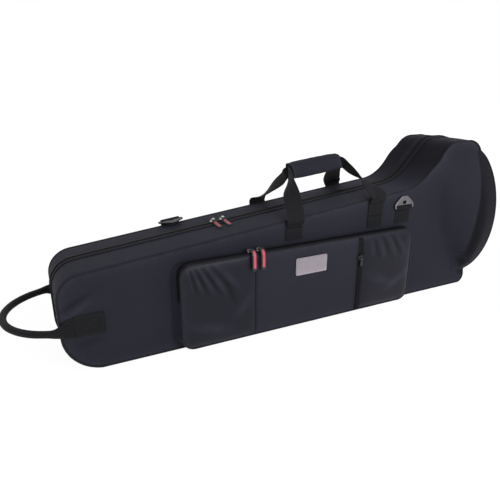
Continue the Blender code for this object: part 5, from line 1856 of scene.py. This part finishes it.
@dataclass
class CarryingHandle(Section):
    """Two webbing loops, their sewn ends and the padded grip that closes round them."""

    width: float = 0.038
    thickness: float = 0.0022
    left: float = 0.436
    right: float = 0.629
    fold_drop: float = 0.015
    patch_clearance: float = 0.0012
    front_patch: float = 0.1785
    rear_patch: float = 0.06
    ramp_foot: float = 0.0105
    ramp_head: float = 0.0062
    grip_rise: float = 0.0977
    grip_width: float = 0.018
    grip_thickness: float = 0.004
    front_grip_y: float = -0.0015
    rear_grip_y: float = 0.0055
    wrap_centre: float = 0.526
    wrap_length: float = 0.115
    wrap_half_height: float = 0.015
    wrap_reach: float = 0.0128
    lean: float = 0.42
    wrap_wall: float = 0.0035
    wrap_split_y: float = 0.002
    legs: dict[str, tuple[tuple[float, ...], ...]] = field(default_factory=lambda: {
        "front left": ((0.435, 0.066, 0.0522, 28, 0.88), (0.4425, 0.043, 0.0712, 56, 0.78),
                       (0.457, 0.017, 0.0852, 78, 0.66)),
        "front right": ((0.618, 0.069, 0.0545, 15, 0.95), (0.6075, 0.049, 0.0745, 38, 0.82),
                        (0.5975, 0.022, 0.089, 64, 0.68)),
        "rear left": ((0.445, 0.062, 0.037, 38, 0.92), (0.4545, 0.042, 0.0565, 58, 0.8),
                      (0.461, 0.019, 0.074, 76, 0.68)),
        "rear right": ((0.619, 0.069, 0.049, 20, 0.97), (0.605, 0.045, 0.066, 48, 0.86),
                       (0.595, 0.0195, 0.086, 72, 0.68)),
    })

    @property
    def fold_height(self) -> float:
        """Height of the fold that each loop swings on."""
        return self.form.top(self.left) - self.fold_drop

    @property
    def grip_frame(self) -> Matrix:
        """Frame of the grip: X along it, parallel to the sloping top."""
        centre = self.form.place(self.wrap_centre, 0.0, self.fold_height + self.grip_rise)
        return Matrix.Translation(centre) @ Matrix.Rotation(-self.form.slope, 4, "Y")

    def leg(self, word: str, along: float, side: Side, inward: int) -> list[Station]:
        """Stations of one leg, from its fold on the panel up to the grip.

        Args:
            word: The leg's name.
            along: Where it is sewn.
            side: Half that it is sewn to.
            inward: 1 for the left leg, -1 for the right one.

        Returns:
            The leg's stations.
        """
        form, turn = self.form, side.value
        seat = form.half_depth + form.gap + self.thickness / 2
        proud = seat + 0.0044
        edge = form.top(along)
        flat = Vector((-inward, 0.0, 0.0))
        half, thin = self.width / 2, self.thickness / 2
        spots = [(seat, self.fold_height), (seat + form.gap, edge - self.ramp_foot),
                 (proud, edge - self.ramp_head), (proud, edge + self.ramp_head)]
        stations = [Station(form.place(along, turn * y, z), flat, half, thin, FLAT)
                    for y, z in spots]
        for station, depth, rise, twist, share in self.legs[word]:
            angle = math.radians(twist)
            across = Vector((-inward * math.cos(angle), 0.0, -math.sin(angle)))
            stations.append(Station(form.place(station, turn * depth, self.fold_height + rise),
                                    across, half * share, thin, FLAT))
        return stations

    def loop(self, side: Side, grip_y: float) -> BMesh:
        """Mesh of one free loop of webbing."""
        left = self.leg(side.word + " left", self.left, side, 1)
        right = self.leg(side.word + " right", self.right, side, -1)
        turn = self.grip_frame
        downward = -(turn.to_3x3() @ UPRIGHT).normalized()
        grip = [Station(turn @ Vector((share * self.wrap_length / 2, grip_y, 0.0)), downward,
                        self.grip_width / 2, self.grip_thickness / 2, 0.35)
                for share in (-1.05, -0.72, 0.72, 1.05)]
        coarse = left + grip + right[::-1]
        return loft(smooth_stations(coarse, 190), 20, wear_and_painted_light=1.0)

    def round_grip(self, side: Side, x: float, split: float, angle: float, reach: float,
                   rise: float) -> Vector:
        """Point on one half of the grip's rounded cross-section.

        Args:
            side: The half.
            x: Distance along the grip.
            split: Where the halves part.
            angle: Angle from the top.
            reach: Half of the section's depth.
            rise: Half of its height.

        Returns:
            The point in the grip's frame.
        """
        z = swell(math.cos(angle), 0.62) * rise
        y = split + side.value * abs(math.sin(angle)) ** 0.6 * reach + self.lean * z
        return Vector((x, y, z))

    def wrap(self, side: Side) -> BMesh:
        """Mesh of one half of the padded grip, before it gets its thickness."""
        turn = self.grip_frame
        split = self.wrap_split_y + side.value * self.form.gap / 2

        def spot(u: float, v: float) -> Spot:
            x = self.wrap_length * (u - 0.5)
            end = self.wrap_length / 2 - abs(x)
            angle = math.pi * v
            plump = 1.0 - 0.06 * math.exp(-end / 0.004) + 0.03 * math.sin(math.pi * u)
            groove = 0.001 * math.exp(-((end - 0.0065) / 0.0012) ** 2)
            edge = min(v, 1 - v) * math.pi * self.wrap_half_height
            groove += 0.001 * math.exp(-((edge - 0.005) / 0.0012) ** 2)
            crease = 0.0006 * noise.noise(Vector((u * 7, v * 5, side.value * 2.0)))
            reach = self.wrap_reach * plump - groove + crease
            rise = self.wrap_half_height * plump - groove + crease
            place = turn @ self.round_grip(side, x, split, angle, reach, rise)
            return Spot(place, (x, v * 0.045), math.exp(-end / 0.004))

        return sheet_mesh(58, 40, spot)

    def patch(self, along: float, side: Side, low: float, stitching: Stitching) -> BMesh:
        """Mesh of one sewn end of webbing, with its box of stitches."""
        form, turn = self.form, side.value
        y = turn * (form.half_depth + form.gap + self.thickness / 2)
        high = self.fold_height - self.patch_clearance
        face = y + turn * self.thickness / 2
        half = self.width / 2 - 0.004
        a, b = low + 0.004, min(high - 0.003, low + 0.034)
        corners = [(along - half, a), (along + half, a), (along + half, b), (along - half, b)]
        spots = [form.place(d, face, z) for d, z in corners]
        stitching.box(side.body, spots, INWARD * turn)
        line = Route([form.place(along, y, low), form.place(along, y, high)])
        return webbing(line, AWAY, self.width, self.thickness, 24)

    def bindings(self, side: Side) -> BMesh:
        """Mesh of the binding round one half of the grip."""
        turn = self.grip_frame
        split = self.wrap_split_y + side.value * 0.0009
        half_length = self.wrap_length / 2
        points = []
        for end in (-1, 1):
            arc = [self.round_grip(side, end * (half_length - 0.0006), split, math.pi * k / 22,
                                   self.wrap_reach * 0.94 - 0.0016,
                                   self.wrap_half_height * 0.94 - 0.0016) for k in range(23)]
            points += arc if end < 0 else arc[::-1]
        spots = [turn @ spot for spot in Route(points, closed=True).spread(200)]
        return cord(spots, Vector((0.31, 0.89, 0.33)), 0.002)

    def build(self, dresser: Dresser, stitching: Stitching) -> None:
        """Make the loops, their sewn ends and the grip."""
        for side, grip_y, low in ((Side.FRONT, self.front_grip_y, self.front_patch),
                                  (Side.REAR, self.rear_grip_y, self.rear_patch)):
            word = side.word
            dresser.piece(f"{word}_handle_webbing", self.loop(side, grip_y), WEBBING,
                          f"{word}_handle", [f"{word}_handle_strap"])
            for end, along in (("left", self.left), ("right", self.right)):
                bm = self.patch(along, side, low, stitching)
                dresser.piece(f"{word}_handle_end_{end}", bm, WEBBING, side.body,
                              [f"{word}_strap_patch_{end}"])
        centre = self.grip_frame.translation
        for side, name, node in ((Side.FRONT, "grip_front", "handle_wrap"),
                                 (Side.REAR, "grip_rear", "wrap_flap")):
            made = dresser.sheet(name, self.wrap(side), BALLISTIC, "front_handle",
                                 node, centre, self.wrap_wall, angle=70.0)
            dresser.piece(name + "_binding", self.bindings(side), PIPING, "front_handle",
                          angle=80.0)


@dataclass
class StrapRings(Section):
    """The two rings for a shoulder strap, each in its fold of webbing."""

    width: float = 0.05
    height: float = 0.027
    shoulder: float = 0.01
    flank: tuple[float, float] = (0.0165, 0.019)
    top: float = 0.014
    thickness: float = 0.003
    bar: float = 0.0035
    slot: tuple[float, float] = (0.041, 0.0042)
    eye_foot: tuple[float, float] = (0.0052, 0.0062)
    eye_top: tuple[float, float] = (0.0044, 0.0134)
    fold_radius: float = 0.0035
    fold_thickness: float = 0.0016
    tab_width: float = 0.038
    front: float = 0.702
    front_drop: float = 0.0352
    front_lean: float = -3.0
    rear: float = 0.238
    rear_lift: float = 0.0068
    rear_y: float = 0.0752
    rear_lean: float = 85.0
    rear_tab: float = 0.05
    front_patch: float = 0.1785

    def ring(self, turn: Matrix, lean: float) -> BMesh:
        """Mesh of one ring, a cast plate with a slot and an eye, in a frame on its bar."""
        base, low = -self.bar / 2, self.bar / 2
        outer = ((self.width / 2, base), (self.width / 2, base + self.shoulder),
                 (self.flank[0], base + self.flank[1]), (self.top / 2, base + self.height))
        slot = ((self.slot[0] / 2, low), (self.slot[0] / 2, low + self.slot[1]))
        eye = ((self.eye_foot[0], low + self.eye_foot[1]),
               (self.eye_top[0], low + self.eye_top[1]))
        bm = blank_mesh()
        edges = []
        for shape, radius in ((outer, 0.004), (slot, 0.0015), (eye, 0.003)):
            corners = [Vector(c) for c in shape] + [Vector((-x, z)) for x, z in shape[::-1]]
            verts = [bm.verts.new((point.x, point.y, -self.thickness / 2))
                     for point in rounded_outline(corners, radius, 7)]
            edges += [bm.edges.new((vert, verts[k - 1])) for k, vert in enumerate(verts)]
        bmesh.ops.triangle_fill(bm, edges=edges, use_beauty=True)
        bmesh.ops.dissolve_limit(bm, angle_limit=0.01, verts=bm.verts[:], edges=bm.edges[:])
        raise_faces(bm, self.thickness)
        round_edges(bm, 0.0009, 3, 0.8)
        bm.transform(turn @ Matrix.Rotation(math.radians(lean + 90), 4, "X"))
        return bm

    def tab(self, path: Sequence[Vector], across: Vector) -> BMesh:
        """Mesh of the webbing that folds round a ring's bar."""
        return webbing(Route(path), across, self.tab_width, self.fold_thickness, 60)

    def fold(self, centre: Vector) -> list[Vector]:
        """Points of the fold round a bar, from its free end to the panel's side."""
        points = []
        for k in range(19):
            angle = math.radians(250) * (1 - k / 18)
            points.append(centre + Vector((0.0, self.fold_radius * math.cos(angle),
                                           self.fold_radius * math.sin(angle))))
        return points

    def build(self, dresser: Dresser, stitching: Stitching) -> None:
        """Make both rings and their tabs."""
        form = self.form
        seat = form.half_depth + form.gap + self.fold_thickness / 2
        height = form.top(self.front) - self.front_drop
        bar = form.place(self.front, -(seat + self.fold_radius), height)
        path = self.fold(bar) + [form.place(self.front, -seat, self.front_patch)]
        dresser.piece("front_ring_webbing", self.tab(path, AWAY), WEBBING, "lid",
                      ["front_ring_tab"])
        dresser.piece("front_ring_cast", self.ring(Matrix.Translation(bar), self.front_lean),
                      CAST, "front_ring", ["front_strap_ring"])
        face = -(seat + self.fold_thickness / 2)
        half = self.tab_width / 2 - 0.004
        out = -INWARD
        for z in (self.front_patch + 0.005, height - 0.01):
            ends = [form.place(self.front + s * half, face, z) for s in (-1, 1)]
            stitching.row("lid", ends, out)

        spot = form.place(self.rear, self.rear_y, form.top(self.rear)) + form.up * self.rear_lift
        turn = Matrix.Translation(spot) @ Matrix.Rotation(-form.slope, 4, "Y")
        foot = -(self.rear_lift + 0.011)
        local = self.fold(Vector()) + [Vector((0.0, self.fold_radius, -0.0075)),
                                       Vector((0.0, seat - self.rear_y, foot)),
                                       Vector((0.0, seat - self.rear_y, foot - self.rear_tab))]
        across = (turn.to_3x3() @ AWAY).normalized()
        dresser.piece("rear_ring_webbing", self.tab([turn @ p for p in local], across), WEBBING,
                      "base", ["rear_ring_tab"])
        # The rear ring, the same casting as the front ring, drawn dark as painted shade.
        dresser.piece("rear_ring_cast", self.ring(turn, self.rear_lean), DARK_PLATE_AND_PAINTED_SHADE, "rear_ring",
                      ["rear_strap_ring"])
        for z in (foot - 0.008, foot - self.rear_tab + 0.005):
            face = seat - self.rear_y + self.fold_thickness / 2
            ends = [turn @ Vector((s * half, face, z)) for s in (-1, 1)]
            stitching.row("base", ends, INWARD)


@dataclass
class EndLoop(Section):
    """The round sewn loop at the left end, with the patches that hold it."""

    height: float = 0.0875
    rear_rise: float = 0.0105
    taper: float = 1.08
    reach: float = 0.09
    radius: float = 0.0062
    flat_width: float = 0.036
    flat_thickness: float = 0.003
    anchor_start: float = 0.022
    anchor_end: float = 0.072
    anchor_width: float = 0.04
    anchor_thickness: float = 0.002

    def loop(self) -> BMesh:
        """Mesh of the loop: flat at its sewn ends and rolled round in between."""
        form = self.form
        flat_y = form.half_depth + form.gap + self.flat_thickness / 2
        over_y = form.half_depth + 0.0042 + self.flat_thickness
        side_y = over_y + 0.003
        tip = self.reach - self.radius
        ends = [(self.anchor_start - form.gap, flat_y, self.flat_width / 2,
                 self.flat_thickness / 2, 0.4),
                (0.012, flat_y + 0.0012, 0.0165, 0.0017, 0.45),
                (0.003, over_y + 0.0006, 0.012, 0.0026, 0.6),
                (-0.008, over_y + 0.0026, 0.008, 0.0045, 0.85)]
        route = [(d, -y, 0.0, w, t, p) for d, y, w, t, p in ends]
        for k in range(1, 12):
            angle = math.pi * k / 12
            along = -tip * math.sin(angle) ** self.taper
            route.append((along, -side_y * math.cos(angle), k / 12, self.radius, self.radius, 1.0))
        route += [(d, y, 1.0, w, t, p) for d, y, w, t, p in reversed(ends)]
        coarse = [Station(form.place(d, y, self.height + self.rear_rise * share), UPRIGHT, w, t, p)
                  for d, y, share, w, t, p in route]
        return loft(smooth_stations(coarse, 150), 20, wear_and_painted_light=0.6)

    def build(self, dresser: Dresser, stitching: Stitching) -> None:
        """Make the loop between the halves, attached to neither, and its two patches."""
        form = self.form
        made = dresser.piece("end_loop_webbing", self.loop(), WEBBING, None,
                             ["end_loop"])
        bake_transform(made)
        half = self.anchor_width / 2
        for side in Side:
            y = side.value * (form.half_depth + form.gap + self.anchor_thickness / 2)
            middle = self.height if side is Side.FRONT else self.height + self.rear_rise
            line = Route([form.place(self.anchor_start, y, middle),
                          form.place(self.anchor_end, y, middle)])
            bm = webbing(line, UPRIGHT, self.anchor_width, self.anchor_thickness, 16)
            dresser.piece(f"{side.word}_loop_patch", bm, WEBBING, side.body,
                          [f"{side.word}_anchor_patch"])
            face = y + side.value * self.anchor_thickness / 2
            a, b = self.anchor_start + 0.004, self.anchor_end - 0.004
            low, high = middle - half + 0.004, middle + half - 0.004
            spots = [form.place(d, face, z) for d, z in ((a, low), (b, low), (b, high), (a, high))]
            stitching.box(side.body, spots, INWARD * side.value)


@dataclass
class Interior:
    """Foam blocks, straps and the small compartment inside the case."""

    blocks: tuple[tuple[str, str], ...] = (
        ("bell_cradle", "base"), ("neck_block", "base"), ("crook_block", "base"),
        ("mouthpiece_block", "base"), ("bell_end_pad", "base"), ("slide_block_left", "lid"),
        ("slide_block_middle", "lid"), ("slide_block_right", "lid"))
    others: tuple[tuple[str, str, str, Finish, Slot, float], ...] = (
        ("accessory_box", "_covered", "base", PLUSH, Slot.PLUSH, 0.0007),
        ("accessory_lid", "_covered", "accessory_lid", PLUSH, Slot.PLUSH, 0.0007),
        ("slide_strap_left", "_webbing", "lid", WEBBING, Slot.WEBBING, 0.0004),
        ("slide_strap_right", "_webbing", "lid", WEBBING, Slot.WEBBING, 0.0004))
    bevel: float = 0.0022

    def soft_copy(self, node: str, bevel: float) -> BMesh:
        """Copy a CAD solid, clean its flat faces and round its edges.

        Args:
            node: The CAD node.
            bevel: Radius of its edges.

        Returns:
            The rounded mesh.
        """
        bm = bmesh.new()
        bm.from_mesh(frame["nodes"][node].data)
        bmesh.ops.remove_doubles(bm, verts=bm.verts[:], dist=1e-6)
        bmesh.ops.dissolve_limit(bm, angle_limit=0.02, verts=bm.verts[:], edges=bm.edges[:])
        bmesh.ops.recalc_face_normals(bm, faces=bm.faces[:])
        round_edges(bm, bevel, 3, 0.9)
        for layer in list(bm.loops.layers.uv.values()):
            bm.loops.layers.uv.remove(layer)
        bm.loops.layers.uv.new(CLOTH_UV)
        wrap_cloth(bm)
        return bm

    def build(self, dresser: Dresser) -> None:
        """Make every soft piece inside the case."""
        for node, body in self.blocks:
            made = dresser.piece(node + "_covered", self.soft_copy(node, self.bevel), KNIT, body,
                                 [node], angle=50.0)
        for node, end, body, finish, slot, bevel in self.others:
            dresser.piece(node + end, self.soft_copy(node, bevel), finish, body, [node],
                          angle=50.0)


@dataclass
class Studio:
    """Floor, light and camera."""

    eye: tuple[float, float, float] = (-0.43465, -0.807, 0.463)
    target: tuple[float, float, float] = (-0.06465, 0.0, 0.147)
    roll: float = -0.53
    lens: float = 33.9
    shift: float = 0.024
    world_level: float = 0.42
    key_power: float = 8.8
    fill_power: float = 1.6
    glow: float = 0.88
    glow_near: float = 0.9
    glow_far: float = 1.8

    def camera(self) -> None:
        """Place the camera at the photograph's viewpoint."""
        data = bpy.data.cameras.new("camera")
        data.lens = self.lens
        data.sensor_width = 36.0
        data.shift_x = self.shift
        data.clip_start, data.clip_end = 0.01, 50.0
        roll = Matrix.Rotation(math.radians(self.roll), 4, "Z")
        place = looking(self.eye, self.target) @ roll
        bpy.context.scene.camera = put("camera", data, place)

    def backdrop_share(self, nodes: Nodes) -> NodeSocket:
        """Add a socket that is 1 for rays that show the backdrop and 0 for those that light."""
        path = nodes.add("LightPath").outputs
        shown = nodes.calc("MAXIMUM", path["Is Camera Ray"], path["Is Glossy Ray"])
        return nodes.calc("MAXIMUM", shown, path["Is Transmission Ray"])

    def world(self) -> None:
        """Make the white surroundings, which light the object at a plain level."""
        world = bpy.data.worlds.new("studio")
        world.use_nodes = True
        nodes = Nodes(world.node_tree, world.node_tree.nodes["Background"])
        level = nodes.add("MapRange", {"To Min": self.world_level, "To Max": 1.0,
                                       "Value": self.backdrop_share(nodes)})
        nodes.feed({"Color": linear("ffffff"), "Strength": level.outputs["Result"]})
        bpy.context.scene.world = world

    def floor(self) -> None:
        """Make the white floor, which keeps the object's soft shadow."""
        bm = bmesh.new()
        bmesh.ops.create_grid(bm, x_segments=8, y_segments=8, size=8.0)
        mesh = bpy.data.meshes.new("floor")
        bm.to_mesh(mesh)
        bm.free()
        material = bpy.data.materials.new("matt white floor")
        material.use_nodes = True
        tree = material.node_tree
        tree.nodes.remove(tree.nodes["Principled BSDF"])
        nodes = Nodes(tree, tree.nodes["Material Output"])
        matt = nodes.add("BsdfDiffuse", {"Color": linear("f4f4f4")})
        glow = nodes.add("Emission", {"Color": linear("ffffff"), "Strength": 1.08})
        place = nodes.add("TexCoord").outputs["Object"]
        away = nodes.add("VectorMath", {"operation": "LENGTH", 0: place}).outputs["Value"]
        level = nodes.add("MapRange", {"From Min": self.glow_near, "From Max": self.glow_far,
                                       "To Min": self.glow, "To Max": 1.0, "Value": away})
        share = nodes.calc("MULTIPLY", self.backdrop_share(nodes), level.outputs["Result"])
        both = nodes.add("MixShader", {0: share, 1: matt.outputs[0], 2: glow.outputs[0]})
        nodes.feed({"Surface": both.outputs[0]})
        mesh.materials.append(material)
        made = put("floor", mesh)

    def lamps(self) -> None:
        """Hang a broad soft key lamp in front of the bell, and a fill at the left end."""
        for name, energy, size, centre, aim in (
                ("key", self.key_power, (0.6, 0.5), (0.14, -1.15, 0.6), (0.4, 0.0, 0.15)),
                ("fill", self.fill_power, (0.6, 0.6), (-1.25, -0.95, 0.35), (0.05, 0.0, 0.12))):
            lamp = bpy.data.lights.new(name, "AREA")
            lamp.shape = "RECTANGLE"
            lamp.size, lamp.size_y = size
            lamp.energy = energy
            put(name, lamp, looking(centre, aim))

    def build(self) -> None:
        """Make the whole studio."""
        self.camera()
        self.world()
        self.floor()
        self.lamps()
        bpy.context.scene.view_settings.view_transform = "Standard"


def write_sizes() -> None:
    """Bring the view layer up to date.
    """
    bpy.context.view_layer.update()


def main() -> None:
    """Build the studio and every sub-assembly in order."""
    logging.basicConfig(level=logging.INFO, format="%(message)s")
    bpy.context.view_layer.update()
    dresser, stitching = Dresser(), Stitching()
    Studio().build()
    WallCovers().build(dresser)
    Trays().build(dresser)
    MainZipper().build(dresser, stitching)
    HingeStrip().build(dresser)
    pocket = Pocket()
    pocket.build(dresser, stitching)
    Sliders(pocket=pocket).build(dresser)
    CarryingHandle().build(dresser, stitching)
    StrapRings().build(dresser, stitching)
    EndLoop().build(dresser, stitching)
    Interior().build(dresser)
    stitching.finish(dresser)
    log.info("%d pieces", dresser.count)
    write_sizes()


if __name__ == "__main__":
    main()
